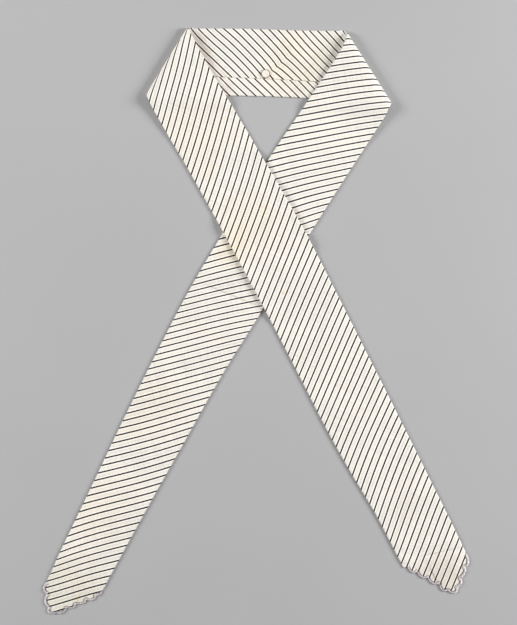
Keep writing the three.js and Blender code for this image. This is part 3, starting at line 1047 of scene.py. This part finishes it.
def edging_threads(tail, back):
    """Buttonhole stitches along the scallops of one layer of cloth."""
    rim = scallop_line(tail, PURL_RADIUS, RIM_STEPS, back, stitched=True)
    line = smoothed_runs(resample(rim, STITCH_SPACING))
    notches = [Vector((part.along, part.across)) for part in tail.end if part.stitched]
    height = REST + (PURL_RADIUS if back else 2 * END_HALF - STITCH_SINK)
    seed = BACK_SEED if back else FRONT_SEED

    def place(spot, z):
        x, y = to_table(tail, spot.x, spot.y)
        return (x, y, max(z, LOWEST_THREAD))

    threads = Threads()
    purl, stitch_feet_shade = [], []
    for k, (spot, run) in enumerate(line):
        inward = inward_of(run)
        depth = STITCH_DEPTH * (1 + stray("depth", k, seed))
        lean = run * stray("lean", k, seed)
        level = height + stray("level", k, seed)
        inner = spot + inward * depth + lean
        middle = spot + inward * depth / 2 + lean * LEAN_MIDWAY
        spots = (inner, middle, spot, spot, inner)
        stitch = [place(at, level + lift) for at, lift in zip(spots, STITCH_LIFTS)]
        threads.add(stitch, STITCH_RADIUS)
        purl.append(place(spot + inward * stray("purl", k, seed), level))
        nearest = min((spot - notch).length for notch in notches)
        reach = LINE_DEPTH + NOTCH_REACH * math.exp(-((nearest / NOTCH_REACH) ** 2))
        reach += stray("line", k, seed)
        stitch_feet_shade.append(place(spot + inward * reach, level + LINE_LIFT))
    threads.add(purl, PURL_RADIUS)
    if not back:
        # Painted shade: a dark thread along the stitches' feet stands for the shade where they pull
        # into the cloth.
        threads.add(stitch_feet_shade, LINE_RADIUS, shade=1)
    return threads


def seam_threads(points, rise, seed):
    """Small slanting stitches over a lap's edge; the points are in millimetres with heights."""
    threads = Threads()
    flat = resample([point[:2] for point in points], SEAM_SPACING)
    for k, (spot, run) in enumerate(flat):
        nearest = min(points, key=lambda point: math.dist(point[:2], spot))
        inward = inward_of(run)
        half = SEAM_STITCH / 2 * (1 + stray("seam length", k, seed))
        slant = half * (SEAM_SLANT[0] * run + SEAM_SLANT[1] * inward)
        middle = spot + inward * stray("seam lean", k, seed)
        path = []
        for t, lift in SEAM_LIFTS:
            point = middle + t * slant
            path.append((point.x, point.y, nearest[2] + rise * SEAM_RADIUS * lift))
        threads.add(path, SEAM_RADIUS)
    return threads


def lap_thread_and_shade(points):
    """A dark cord along the neckband's lap, close against its folded edge: partly its running
    thread, partly painted shade of that edge.
    """
    return [(x, y + stray("lap", x, 3.0) - LAP_THREAD_AND_SHADE_IN, z) for x, y, z in points]


# Materials


def new_material(name):
    material = bpy.data.materials.new(name)
    material.use_nodes = True
    tree = material.node_tree
    tree.nodes.clear()
    output = tree.nodes.new("ShaderNodeOutputMaterial")
    shader = tree.nodes.new("ShaderNodeBsdfPrincipled")
    tree.links.new(shader.outputs["BSDF"], output.inputs["Surface"])
    return material, tree, shader


def fill(tree, node, values):
    """Links or sets a node's inputs."""
    for key, value in values.items():
        if isinstance(value, bpy.types.NodeSocket):
            tree.links.new(value, node.inputs[key])
        else:
            node.inputs[key].default_value = value


def put(tree, kind, values=None, **fields):
    """Adds a node, sets its fields and fills its inputs."""
    node = tree.nodes.new(kind)
    for key, value in fields.items():
        setattr(node, key, value)
    fill(tree, node, values or {})
    return node


def maths(tree, operation, a, b=0.0, clamp=False):
    node = put(tree, "ShaderNodeMath", {0: a, 1: b}, operation=operation, use_clamp=clamp)
    return node.outputs[0]


def vectors(tree, operation, a, b, result="Vector"):
    second = "Scale" if operation == "SCALE" else 1
    node = put(tree, "ShaderNodeVectorMath", {0: a, second: b}, operation=operation)
    return node.outputs[result]


def x_and_y(tree, place):
    parts = put(tree, "ShaderNodeSeparateXYZ", {"Vector": place})
    return parts.outputs["X"], parts.outputs["Y"]


def joined(tree, **parts):
    return put(tree, "ShaderNodeCombineXYZ", parts).outputs[0]


def on_the_ground(tree, place):
    x, y = x_and_y(tree, place)
    return joined(tree, X=x, Y=y)


def cloud(tree, place, roughness):
    values = {"Vector": place, "Scale": 1.0, "Detail": 3.0, "Roughness": roughness}
    return put(tree, "ShaderNodeTexNoise", values).outputs["Fac"]


def ramp_between(tree, value, low, high, start=0.0, stop=1.0):
    values = {"Value": value, "From Min": low, "From Max": high, "To Min": start, "To Max": stop}
    node = put(tree, "ShaderNodeMapRange", values, interpolation_type="SMOOTHSTEP")
    return node.outputs["Result"]


def blend(tree, factor, a, b, mode="MIX"):
    values = {0: factor, 6: a, 7: b}
    return put(tree, "ShaderNodeMix", values, data_type="RGBA", blend_type=mode).outputs[2]


def relief(tree, height, strength, depth, **under):
    values = {"Height": height, "Strength": strength, "Distance": depth * MM, **under}
    return put(tree, "ShaderNodeBump", values).outputs["Normal"]


def on_object(tree):
    return put(tree, "ShaderNodeTexCoord").outputs["Object"]


def on_map(tree, name):
    return put(tree, "ShaderNodeUVMap", uv_map=name).outputs["UV"]


def new_group(name, result, **inputs):
    """A node group with named inputs, vectors or values, and one value as its result."""
    group = bpy.data.node_groups.new(name, "ShaderNodeTree")
    for key, kind in inputs.items():
        group.interface.new_socket(key, in_out="INPUT", socket_type=f"NodeSocket{kind}")
    group.interface.new_socket(result, in_out="OUTPUT", socket_type="NodeSocketFloat")
    inside, outside = group.nodes.new("NodeGroupInput"), group.nodes.new("NodeGroupOutput")
    return group, inside.outputs, outside.inputs[result]


def use_group(tree, name, **values):
    node = tree.nodes.new("ShaderNodeGroup")
    node.node_tree = bpy.data.node_groups[name]
    fill(tree, node, values)
    return node.outputs[0]


def make_streaks_group():
    """Slubs: streaks that run along one direction of the cloth, from uneven yarns."""
    group, given, result = new_group(
        "Yarn Streaks", "Value", Place="Vector", Across="Float", Along="Float", Seed="Float"
    )
    x, y = x_and_y(group, given["Place"])
    across = maths(group, "MULTIPLY", x, given["Across"])
    along = maths(group, "MULTIPLY", y, given["Along"])
    place = joined(group, X=across, Y=along, Z=given["Seed"])
    group.links.new(cloud(group, place, 0.6), result)


def make_weave_group():
    """Plain weave: rounded warp and weft yarns that pass over each other in turn."""
    group, given, result = new_group("Plain Weave", "Height", Place="Vector", Yarns="Float")
    waves = []
    for part in x_and_y(group, given["Place"]):
        turned = maths(group, "MULTIPLY", part, given["Yarns"])
        waves.append(maths(group, "SINE", maths(group, "MULTIPLY", turned, math.pi)))
    crossing = maths(group, "MULTIPLY", *waves)
    height = maths(group, "ADD", maths(group, "MULTIPLY", crossing, 0.5), 0.5)
    group.links.new(height, result)


def make_crease_group():
    """Nearness to a line between two points of the table, fading along it and to each side."""
    group, given, result = new_group(
        "Crease Line", "Value", Place="Vector", Start="Vector", Stop="Vector", Width="Float"
    )
    ground = on_the_ground(group, given["Place"])
    reach = vectors(group, "SUBTRACT", ground, given["Start"])
    run = vectors(group, "SUBTRACT", given["Stop"], given["Start"])
    ahead = vectors(group, "DOT_PRODUCT", reach, run, "Value")
    square = vectors(group, "DOT_PRODUCT", run, run, "Value")
    share = maths(group, "DIVIDE", ahead, square, clamp=True)
    foot = vectors(group, "SCALE", run, share)
    off = vectors(group, "DISTANCE", reach, foot, "Value")
    near = ramp_between(group, off, 0.0, given["Width"], 1.0, 0.0)
    from_end = maths(group, "PINGPONG", share, 0.5)
    taper = ramp_between(group, from_end, 0.0, 0.2)
    group.links.new(maths(group, "MULTIPLY", near, taper), result)


def make_patches_group():
    """Broad soft patches, where cloth has aged and taken up the light unevenly."""
    group, given, result = new_group(
        "Soft Patches", "Value", Place="Vector", Size="Float", Seed="Float"
    )
    size = maths(group, "DIVIDE", 1.0, given["Size"])
    scaled = vectors(group, "SCALE", given["Place"], size)
    moved = vectors(group, "ADD", scaled, joined(group, Z=given["Seed"]))
    group.links.new(cloud(group, moved, 0.55), result)


# Stains and sharp creases follow the photo; a stain's tint is one of the settings' colours
STAINS = (
    Stain(27, 28.5, 2.2, 0.8, "yellow"),
    Stain(106, -87.5, 2.0, 0.5, "yellow"),
    Stain(-178, -276.5, 3.5, 0.5, "yellow"),
    Stain(-18, 84, 18, 0.22, "warm"),
    Stain(-62, 186, 50, 0.2, "warm"),
    Stain(-8, 96, 46, 0.22, "warm"),
    Stain(36, 262, 36, 0.2, "warm"),
    Stain(-118, -90, 46, 0.16, "warm"),
    Stain(-160, -190, 46, 0.16, "warm"),
    Stain(9, 111, 10, 0.2, "warm"),
    Stain(-46, 150, 12, 0.2, "warm"),
    Stain(24, 244, 22, 0.2, "warm"),
    Stain(36, 278, 14, 0.16, "warm"),
    # These two darken and grey the over tail towards its end.
    Stain(186, -256, 34, 0.75, "grey"),
    Stain(150, -185, 26, 0.22, "grey"),
    Stain(-190, -272, 52, 0.6, "green"),
    Stain(-84, -78, 26, 0.2, "green"),
    Stain(-26, 66, 18, 0.3, "warm"),
    # Painted shadow: these five darken the neckband beside the left fold, where the turned over tail
    # shades it.
    Stain(-57, 281, 9, 0.8, "pink"),
    Stain(-50, 270, 9, 0.8, "pink"),
    Stain(-43, 258, 9, 0.75, "pink"),
    Stain(-35, 246, 9, 0.7, "pink"),
    Stain(-27, 233, 8, 0.6, "pink"),
    # Painted shadow: these four darken the neckband beside the right fold, where the turned under
    # tail shades it.
    Stain(77, 279, 13, 0.6, "green"),
    Stain(66, 263, 14, 0.65, "green"),
    Stain(56, 247, 14, 0.65, "green"),
    Stain(46, 231, 13, 0.6, "green"),
)
# Sharp creases: the bump sinks them, and their colour is darkened as painted shade.
CREASE_LINES = (
    Crease(-56, 38.5, 6, 13.5, 0.75, 1.3),
    Crease(159, -236.5, 204, -226.5, 0.6, 1.6),
    Crease(18, 252, 36, 273, 0.35, 1.4),
    Crease(-71, 287, -109, 227, 0.7, 3.2),
    Crease(84, 286, 90, 279, 0.9, 1.5),
)
RAGGED = 6.0  # size of the unevenness in a stain's rim, in millimetres
STAIN_FADE = (0.25, 1.1)  # a stain fades out between these shares of its radius
CREASE_SHADE = 0.6  # painted shade: how far a full crease is darkened towards the grey
CREASE_DEPTH = 0.5  # in millimetres
WEAVE_DEPTH = 0.12
FLANK = (0.24, 0.34)  # the whiter yarns end this far from a stripe, in stripe repeats
STRIPE_SOFT = 0.15  # a stripe's edges fade over this share of its half width, on both sides
STRIPE_WORN = 0.97  # strength of a stripe on its thinnest yarns
STRIPE_WANDER = 0.05  # in stripe repeats
TABLE_DIM = 0.97  # the table's darker patches


def paint(name):
    """One of the settings' colours, as a node takes it."""
    return (*getattr(bpy.context.scene.cravat_colours, name), 1)


def stained(tree, place, colour):
    """Lays the yellowed and greyed places over a colour, and the painted shadows beside the two
    folds.
    """
    ground = on_the_ground(tree, place)
    ragged = use_group(tree, "Soft Patches", Place=ground, Size=RAGGED * MM, Seed=21.0)
    for stain in STAINS:
        radius = stain.radius * MM
        centre = (stain.x * MM, stain.y * MM, 0.0)
        far = vectors(tree, "DISTANCE", ground, centre, "Value")
        uneven = maths(tree, "MULTIPLY", maths(tree, "SUBTRACT", ragged, 0.5), radius)
        spread = maths(tree, "ADD", far, uneven)
        inner, outer = (share * radius for share in STAIN_FADE)
        mask = ramp_between(tree, spread, inner, outer, stain.strength, 0.0)
        colour = blend(tree, mask, colour, paint(stain.tint), "MULTIPLY")
    return colour


def creased(tree, place):
    """How near a place is to the sharp creases: 1 in the middle of a full one."""
    total = 0.0
    for crease in CREASE_LINES:
        near = use_group(
            tree,
            "Crease Line",
            Place=place,
            Start=(crease.x0 * MM, crease.y0 * MM, 0.0),
            Stop=(crease.x1 * MM, crease.y1 * MM, 0.0),
            Width=crease.width * MM,
        )
        total = maths(tree, "ADD", maths(tree, "MULTIPLY", near, crease.height), total)
    return total


def striped_cotton():
    sizes = bpy.context.scene.cravat_cloth
    material, tree, shader = new_material("Striped Cotton")
    grain = on_map(tree, "cloth_grain")
    place = on_object(tree)
    swapped = put(tree, "ShaderNodeVectorRotate", {"Vector": grain, "Angle": math.pi / 2})
    turned = swapped.outputs[0]
    warp = use_group(tree, "Yarn Streaks", Place=grain, Across=5.5, Along=0.12, Seed=3.0)
    weft = use_group(tree, "Yarn Streaks", Place=turned, Across=5.0, Along=0.1, Seed=8.0)
    wobble = use_group(tree, "Yarn Streaks", Place=grain, Across=0.4, Along=1.4, Seed=14.0)

    wander = maths(tree, "MULTIPLY", maths(tree, "SUBTRACT", wobble, 0.5), STRIPE_WANDER)
    count = maths(tree, "ADD", x_and_y(tree, grain)[0], wander)
    nearest = maths(tree, "PINGPONG", count, 0.5)

    patches = use_group(tree, "Soft Patches", Place=place, Size=0.05, Seed=1.0)
    tint = ramp_between(tree, patches, 0.35, 0.65)
    base = blend(tree, tint, paint("cool"), paint("faded"))
    base = blend(tree, 0.5, paint("ground"), base)
    flank = ramp_between(tree, nearest, *FLANK, 1.0, 0.0)
    base = blend(tree, flank, base, paint("bleached"))
    yarns = maths(tree, "ADD", warp, weft)
    grey = ramp_between(tree, yarns, 0.7, 1.3, 0.88, 1.05)
    shade = put(tree, "ShaderNodeCombineColor", {0: grey, 1: grey, 2: grey}).outputs[0]
    base = blend(tree, 1.0, base, shade, "MULTIPLY")
    base = stained(tree, place, base)
    near_crease = creased(tree, place)
    # Painted shade: the sharp creases are darkened towards the grey.
    crease_shade = maths(tree, "MULTIPLY", near_crease, CREASE_SHADE)
    base = blend(tree, crease_shade, base, paint("grey"), "MULTIPLY")

    half = sizes.stripe_width / (2 * sizes.stripe_repeat)
    fade = (half * (1 - STRIPE_SOFT), half * (1 + STRIPE_SOFT))
    dark = ramp_between(tree, nearest, *fade, 1.0, 0.0)
    worn = ramp_between(tree, warp, 0.3, 0.75, 1.0, STRIPE_WORN)
    dark = maths(tree, "MULTIPLY", dark, worn)

    weave = use_group(tree, "Plain Weave", Place=grain, Yarns=sizes.stripe_repeat / sizes.yarn)
    height = maths(tree, "ADD", weave, maths(tree, "MULTIPLY", yarns, 1.2))
    surface = relief(tree, height, 0.35, WEAVE_DEPTH)
    sunk = maths(tree, "MULTIPLY", near_crease, -1.0)
    values = {
        "Base Color": blend(tree, dark, base, paint("stripe")),
        "Normal": relief(tree, sunk, 1.0, CREASE_DEPTH, Normal=surface),
        "Roughness": 0.88,
        "Sheen Weight": 0.03,
        "Sheen Roughness": 0.5,
        "Specular IOR Level": 0.12,
    }
    fill(tree, shader, values)
    return material


def twisted_thread(name, colour):
    """Two-ply thread, in one of the settings' colours and its shade."""
    material, tree, shader = new_material(name)
    run, round_it = x_and_y(tree, on_map(tree, "thread_run"))
    turns = maths(tree, "MULTIPLY", run, 1.6)
    ply = maths(tree, "PINGPONG", maths(tree, "ADD", turns, round_it), 0.5)
    patches = use_group(tree, "Soft Patches", Place=on_object(tree), Size=0.004, Seed=5.0)
    mask = maths(tree, "ADD", ply, maths(tree, "MULTIPLY", patches, 0.6))
    tone = ramp_between(tree, mask, 0.25, 0.75)
    values = {
        "Base Color": blend(tree, tone, paint(f"{colour}_shade"), paint(colour)),
        "Normal": relief(tree, ply, 0.5, 0.1),
        "Roughness": 0.7,
        "Sheen Weight": 0.2,
    }
    fill(tree, shader, values)
    return material


def linen(name, colour):
    """Plain-woven linen, in one of the settings' colours and its shade."""
    material, tree, shader = new_material(name)
    place = on_object(tree)
    scaled = put(tree, "ShaderNodeMapping", {"Vector": place, "Scale": (1 / MM, 1 / MM, 1 / MM)})
    weave = use_group(tree, "Plain Weave", Place=scaled.outputs[0], Yarns=2.6)
    patches = use_group(tree, "Soft Patches", Place=place, Size=0.003, Seed=2.0)
    tone = maths(tree, "ADD", maths(tree, "MULTIPLY", weave, 0.4), patches)
    mask = ramp_between(tree, tone, 0.4, 1.0)
    values = {
        "Base Color": blend(tree, mask, paint(f"{colour}_shade"), paint(colour)),
        "Normal": relief(tree, weave, 0.4, 0.1),
        "Roughness": 0.75,
    }
    fill(tree, shader, values)
    return material


def table_top():
    material, tree, shader = new_material("Table Top")
    patches = use_group(tree, "Soft Patches", Place=on_object(tree), Size=0.3, Seed=4.0)
    tone = ramp_between(tree, patches, 0.3, 0.7)
    *table, solid = paint("table")
    dim = (*(TABLE_DIM * value for value in table), solid)
    values = {"Base Color": blend(tree, tone, dim, (*table, solid)), "Roughness": 0.9}
    fill(tree, shader, values)
    return material


def cotton_material():
    return bpy.data.materials.get("Striped Cotton") or striped_cotton()


def thread_material(name, colour):
    return bpy.data.materials.get(name) or twisted_thread(name, colour)


# Button, in millimetres

RING_WIRE = 0.45  # half the thickness of the wrapped ring
DISC_INSIDE = 1.6  # the linen ends this many half thicknesses inside the ring's rim
DISC_HEIGHT = 0.8
BUTTON_LIFT = 0.6  # the button's middle, above the cloth
LINEN_RISE = ((0.5, 1.2), (1.2, 1.15))  # insets of the linen's faces, and how much each raises it
LINEN_EDGE = 0.15
THREAD_ENDS = (((-0.05, 0.9), (0.1, 1.3)), ((0.15, 0.9), (-0.15, 1.15)))  # in the button's radii
THREAD_END_LIFTS = ((0.0, 0.15), (0.5, 0.45), (1.0, 0.15))
THREAD_END_RADIUS = 0.14


def button_place():
    """The button's middle on the cloth and its radius, from its CAD box in metres."""
    lo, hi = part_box("neck_button")
    middle = (lo + hi) / 2
    return middle.x, middle.y, (hi.x - lo.x) / 2


def make_button():
    """Linen-covered ring button: linen drawn tight across a ring that is wrapped in thread."""
    x, y, radius = button_place()
    wire = RING_WIRE * MM
    place = (x, y, (TUBE_TOP + BUTTON_LIFT) * MM)
    bpy.ops.object.select_all(action="DESELECT")
    bpy.ops.mesh.primitive_cylinder_add(
        vertices=64, radius=radius - DISC_INSIDE * wire, depth=DISC_HEIGHT * MM, location=place
    )
    disc = bpy.context.active_object
    disc.name = "neck_button_linen"
    bpy.ops.object.mode_set(mode="EDIT")
    bpy.ops.mesh.select_mode(type="FACE")
    bpy.ops.mesh.select_all(action="DESELECT")
    mesh = bmesh.from_edit_mesh(disc.data)
    for face in mesh.faces:
        face.select = abs(face.normal.z) > 0.9
    bmesh.update_edit_mesh(disc.data)
    for inset, raised in LINEN_RISE:
        bpy.ops.mesh.inset(thickness=inset * MM, use_individual=True)
        bpy.ops.transform.resize(value=(1, 1, raised))
    bpy.ops.object.mode_set(mode="OBJECT")
    edge = {"width": LINEN_EDGE * MM, "segments": 2, "limit_method": "ANGLE"}
    apply_modifier(disc, "BEVEL", "Soft Edge", **edge)
    bpy.ops.object.select_all(action="DESELECT")
    bpy.ops.mesh.primitive_torus_add(
        major_segments=72,
        minor_segments=14,
        major_radius=radius - wire,
        minor_radius=wire,
        location=place,
    )
    ring = bpy.context.active_object
    ring.name = "neck_button_ring"
    return disc, ring


def shank_threads():
    """The ends of the button's thread, lying on the cloth just below it."""
    x, y, reach = (value / MM for value in button_place())
    threads = Threads()
    for start, stop in THREAD_ENDS:
        path = []
        for t, lift in THREAD_END_LIFTS:
            across, down = mix(start, stop, t)
            path.append((x + across * reach, y - down * reach, TUBE_TOP + lift))
        threads.add(path, THREAD_END_RADIUS)
    return threads


# Stage, in metres

FLOOR_SIDE = 14.0
LIGHTS = (
    ("right", 0.75, (2.0, 0.35, 0.88)),
    ("left", 0.75, (-2.0, 0.35, 0.88)),
    ("top", 1.2, (0.1, 0.9, 1.8)),
)


def soft_light(name, power, size, place):
    """A square light that faces the middle of the table."""
    lamp = bpy.data.lights.new(name, "AREA")
    lamp.energy = power
    lamp.size = size
    obj = bpy.data.objects.new(name, lamp)
    obj.location = place
    obj.rotation_euler = (-Vector(place)).to_track_quat("-Z", "Y").to_euler()
    bpy.context.scene.collection.objects.link(obj)


def set_surround(scene, stage):
    world = bpy.data.worlds.new("Studio")
    world.use_nodes = True
    background = world.node_tree.nodes["Background"]
    background.inputs["Color"].default_value = (*stage.surround_colour, 1)
    background.inputs["Strength"].default_value = stage.surround
    scene.world = world


def set_camera(scene, stage):
    data = bpy.data.cameras.new("camera")
    data.lens = stage.lens
    camera = bpy.data.objects.new("camera", data)
    camera.location = (stage.camera_x, stage.camera_y, stage.camera_height)
    scene.collection.objects.link(camera)
    scene.camera = camera


# Operators


class CRAVAT_OT_neckband(bpy.types.Operator):
    """Makes the neckband: the tube's inside, with its lapped seam, turned over at both ends"""

    bl_idname = "cravat.make_neckband"
    bl_label = "Neckband"

    def execute(self, context):
        obj = neckband_shell()
        finish_cloth(obj, cotton_material(), ["neckband"])
        return {"FINISHED"}


class CRAVAT_OT_tails(bpy.types.Operator):
    """Makes the two tails, from their rolls at the neckband to their scalloped ends"""

    bl_idname = "cravat.make_tails"
    bl_label = "Tails"

    def execute(self, context):
        under = tail_shell(UNDER, UNDER_CREASES, 5.0)
        finish_cloth(under, cotton_material(), ["under_tail"])
        over = tail_shell(OVER, OVER_CREASES, 9.0)
        finish_cloth(over, cotton_material(), ["over_tail"])
        return {"FINISHED"}


class CRAVAT_OT_edgings(bpy.types.Operator):
    """Works buttonhole stitches round the scallops, on the front and back layers of each end"""

    bl_idname = "cravat.make_edgings"
    bl_label = "Edgings"

    def execute(self, context):
        for tail in (OVER, UNDER):
            for back in (False, True):
                node = f"{tail.name}_edging" + ("_back" if back else "")
                threads = edging_threads(tail, back)
                obj = threads.build(
                    f"{node}_stitches",
                    thread_material("Edging Thread", "edging"),
                    thread_material("Inner Thread", "inner"),
                )
                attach(obj, "root")
                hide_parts(node)
        return {"FINISHED"}


class CRAVAT_OT_seams(bpy.types.Operator):
    """Sews the lapped seam down with small slanting stitches, on the neckband and both tails"""

    bl_idname = "cravat.make_seams"
    bl_label = "Seams"

    def execute(self, context):
        paths = (
            ("neckband_seam", neck_seam_path(), 1),
            ("over_tail_seam", tail_seam_path(OVER), -1),
            ("under_tail_seam", tail_seam_path(UNDER), -1),
        )
        for seed, (name, points, rise) in enumerate(paths):
            threads = seam_threads(points, rise, seed)
            if rise > 0:
                # The dark cord along the lap's edge is partly thread and partly painted shade of
                # that edge.
                threads.add(lap_thread_and_shade(points), LAP_THREAD_AND_SHADE_RADIUS)
            obj = threads.build(name, thread_material("Sewing Thread", "sewing"))
            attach(obj, "root")
        return {"FINISHED"}


class CRAVAT_OT_button(bpy.types.Operator):
    """Makes the small linen-covered button on the inside of the neckband"""

    bl_idname = "cravat.make_button"
    bl_label = "Button"

    def execute(self, context):
        disc, ring = make_button()
        disc.data.materials.append(linen("Button Linen", "button"))
        # Painted shade: the ring is dark so that it reads as the button's shadowed outline, and it
        # stands for a wrapped thread too.
        ring.data.materials.append(linen("Ring Thread", "ring"))
        for obj in (disc, ring):
            smooth_faces(obj.data)
            bpy.ops.object.select_all(action="DESELECT")
            obj.select_set(True)
            bpy.ops.object.transform_apply(location=True, rotation=True, scale=True)
            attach(obj, "root")
        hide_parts("neck_button")
        sewing = thread_material("Sewing Thread", "sewing")
        ends = shank_threads().build("button_thread", sewing)
        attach(ends, "root")
        return {"FINISHED"}


class CRAVAT_OT_stage(bpy.types.Operator):
    """Lays the table, hangs the soft lights and sets the camera straight above"""

    bl_idname = "cravat.set_stage"
    bl_label = "Stage"

    def execute(self, context):
        stage = context.scene.cravat_stage
        bpy.ops.object.select_all(action="DESELECT")
        bpy.ops.mesh.primitive_plane_add(size=FLOOR_SIDE, location=(0, 0, 0))
        floor = context.active_object
        floor.name = "table"
        floor.data.materials.append(table_top())
        for side, size, place in LIGHTS:
            soft_light(f"{side}_light", getattr(stage, f"{side}_power"), size, place)
        set_surround(context.scene, stage)
        set_camera(context.scene, stage)
        context.scene.view_settings.view_transform = "Standard"
        return {"FINISHED"}


# Settings


def length_property(name, description, default, least=-FLOOR_SIDE):
    return FloatProperty(
        name=name, description=description, default=default, min=least, unit="LENGTH"
    )


def power_property(name, description, default):
    return FloatProperty(
        name=name, description=description, default=default, min=0, unit="POWER"
    )


def colour_property(name, description, default):
    return FloatVectorProperty(
        name=name, description=description, default=default, subtype="COLOR", min=0, max=1
    )


class CravatCloth(bpy.types.PropertyGroup):
    thickness: length_property("Cloth Thickness", "One layer of the cotton", 0.00035, 0.0001)
    stripe_repeat: length_property(
        "Stripe Repeat", "From the middle of one dark stripe to the next", PITCH * MM, 0.001
    )
    stripe_width: length_property("Stripe Width", "Width of one dark stripe", 0.00146, 0.0002)
    yarn: length_property("Yarn", "From one yarn of the weave to the next", 0.00034, 0.0001)


class CravatColours(bpy.types.PropertyGroup):
    ground: colour_property("Ground", "Cream of the cotton", (0.8, 0.76, 0.685))
    bleached: colour_property("Beside Stripes", "Whiter yarns beside a stripe", (0.96, 0.945, 0.91))
    faded: colour_property("Faded Patches", "Pinkish cream", (0.94, 0.87, 0.785))
    cool: colour_property("Cool Patches", "Greenish grey cream", (0.79, 0.775, 0.715))
    stripe: colour_property("Stripe", "Dark brown yarns", (0.026, 0.011, 0.006))
    yellow: colour_property("Yellow Spots", "Small stains", (0.98, 0.80, 0.48))
    warm: colour_property("Warm Stains", "Broad faint yellowing", (1.0, 0.90, 0.72))
    # Broad greying of the under tail, and also the painted shadow of the turned under tail on the
    # neckband beside the right fold.
    green: colour_property("Greenish Stains", "Broad greying", (0.87, 0.87, 0.8))
    # Darkens and greys the over tail's end beyond its crease, and is also the painted shade in the
    # sharp creases.
    grey: colour_property("Grey Stains", "Handled cloth", (0.84, 0.81, 0.78))
    # Painted shadow that the turned over tail casts on the neckband beside the left fold.
    pink: colour_property("Pink Shade", "Browned beside the turned edge", (0.88, 0.83, 0.8))
    edging: colour_property("Edging", "Lilac white thread", (0.82, 0.78, 0.82))
    edging_shade: colour_property("Edging Shade", "Between its plies", (0.45, 0.41, 0.46))
    # Painted shade along the feet of the buttonhole stitches, laid as a dark thread.
    inner: colour_property("Inner Thread", "Grey brown thread", (0.2, 0.16, 0.17))
    inner_shade: colour_property("Inner Shade", "Between its plies", (0.07, 0.05, 0.06))
    sewing: colour_property("Sewing Thread", "Ecru thread", (0.4, 0.33, 0.25))
    sewing_shade: colour_property("Sewing Shade", "Between its plies", (0.22, 0.17, 0.12))
    button: colour_property("Button", "Cream linen", (0.85, 0.81, 0.74))
    button_shade: colour_property("Button Shade", "Linen in its hollows", (0.79, 0.74, 0.66))
    # Painted shade: darkened so that the ring reads as the button's shadowed outline, as well as
    # wrapped thread.
    ring: colour_property("Ring", "Grey brown thread round the button", (0.36, 0.31, 0.24))
    ring_shade: colour_property("Ring Shade", "Between its turns", (0.18, 0.15, 0.11))
    table: colour_property("Table", "Plain pale grey", (0.42, 0.42, 0.43))


class CravatStage(bpy.types.PropertyGroup):
    lens: FloatProperty(
        name="Lens", description="Focal length in millimetres", default=115.2, min=10
    )
    camera_x: length_property("Camera X", "To the right of the middle", 0.0025)
    camera_y: length_property("Camera Y", "Towards the neckband", 0.009)
    camera_height: length_property("Camera Height", "Above the table", 2.0)
    right_power: power_property("Right Light", "Power of the stronger light", 60)
    left_power: power_property("Left Light", "Power of the weaker light", 46)
    top_power: power_property("Top Light", "Power of the light above", 4)
    surround_colour: colour_property("Surround Colour", "Warm walls all round", (1, 0.965, 0.9))
    surround: FloatProperty(
        name="Surround", description="Brightness of the room all round", default=0.22, min=0
    )


class CRAVAT_PT_panel(bpy.types.Panel):
    """Lists the cravat's settings and steps in the sidebar"""

    bl_label = "Cravat"
    bl_idname = "CRAVAT_PT_panel"
    bl_space_type = "VIEW_3D"
    bl_region_type = "UI"
    bl_category = "Cravat"

    def draw(self, context):
        for settings in (
            context.scene.cravat_cloth,
            context.scene.cravat_colours,
            context.scene.cravat_stage,
        ):
            box = self.layout.box()
            for key in settings.bl_rna.properties.keys():
                if key not in ("name", "rna_type"):
                    box.prop(settings, key)
        for operator in OPERATORS:
            self.layout.operator(operator.bl_idname)


OPERATORS = (
    CRAVAT_OT_neckband,
    CRAVAT_OT_tails,
    CRAVAT_OT_edgings,
    CRAVAT_OT_seams,
    CRAVAT_OT_button,
    CRAVAT_OT_stage,
)
CLASSES = (CravatCloth, CravatColours, CravatStage, *OPERATORS, CRAVAT_PT_panel)


def register():
    for cls in CLASSES:
        bpy.utils.register_class(cls)
    bpy.types.Scene.cravat_cloth = PointerProperty(type=CravatCloth)
    bpy.types.Scene.cravat_colours = PointerProperty(type=CravatColours)
    bpy.types.Scene.cravat_stage = PointerProperty(type=CravatStage)


def unregister():
    del bpy.types.Scene.cravat_stage
    del bpy.types.Scene.cravat_colours
    del bpy.types.Scene.cravat_cloth
    for cls in reversed(CLASSES):
        bpy.utils.unregister_class(cls)


def main():
    register()
    make_streaks_group()
    make_weave_group()
    make_patches_group()
    make_crease_group()
    bpy.ops.cravat.make_neckband()
    bpy.ops.cravat.make_tails()
    bpy.ops.cravat.make_edgings()
    bpy.ops.cravat.make_seams()
    bpy.ops.cravat.make_button()
    bpy.ops.cravat.set_stage()


if __name__ == "__main__":
    main()
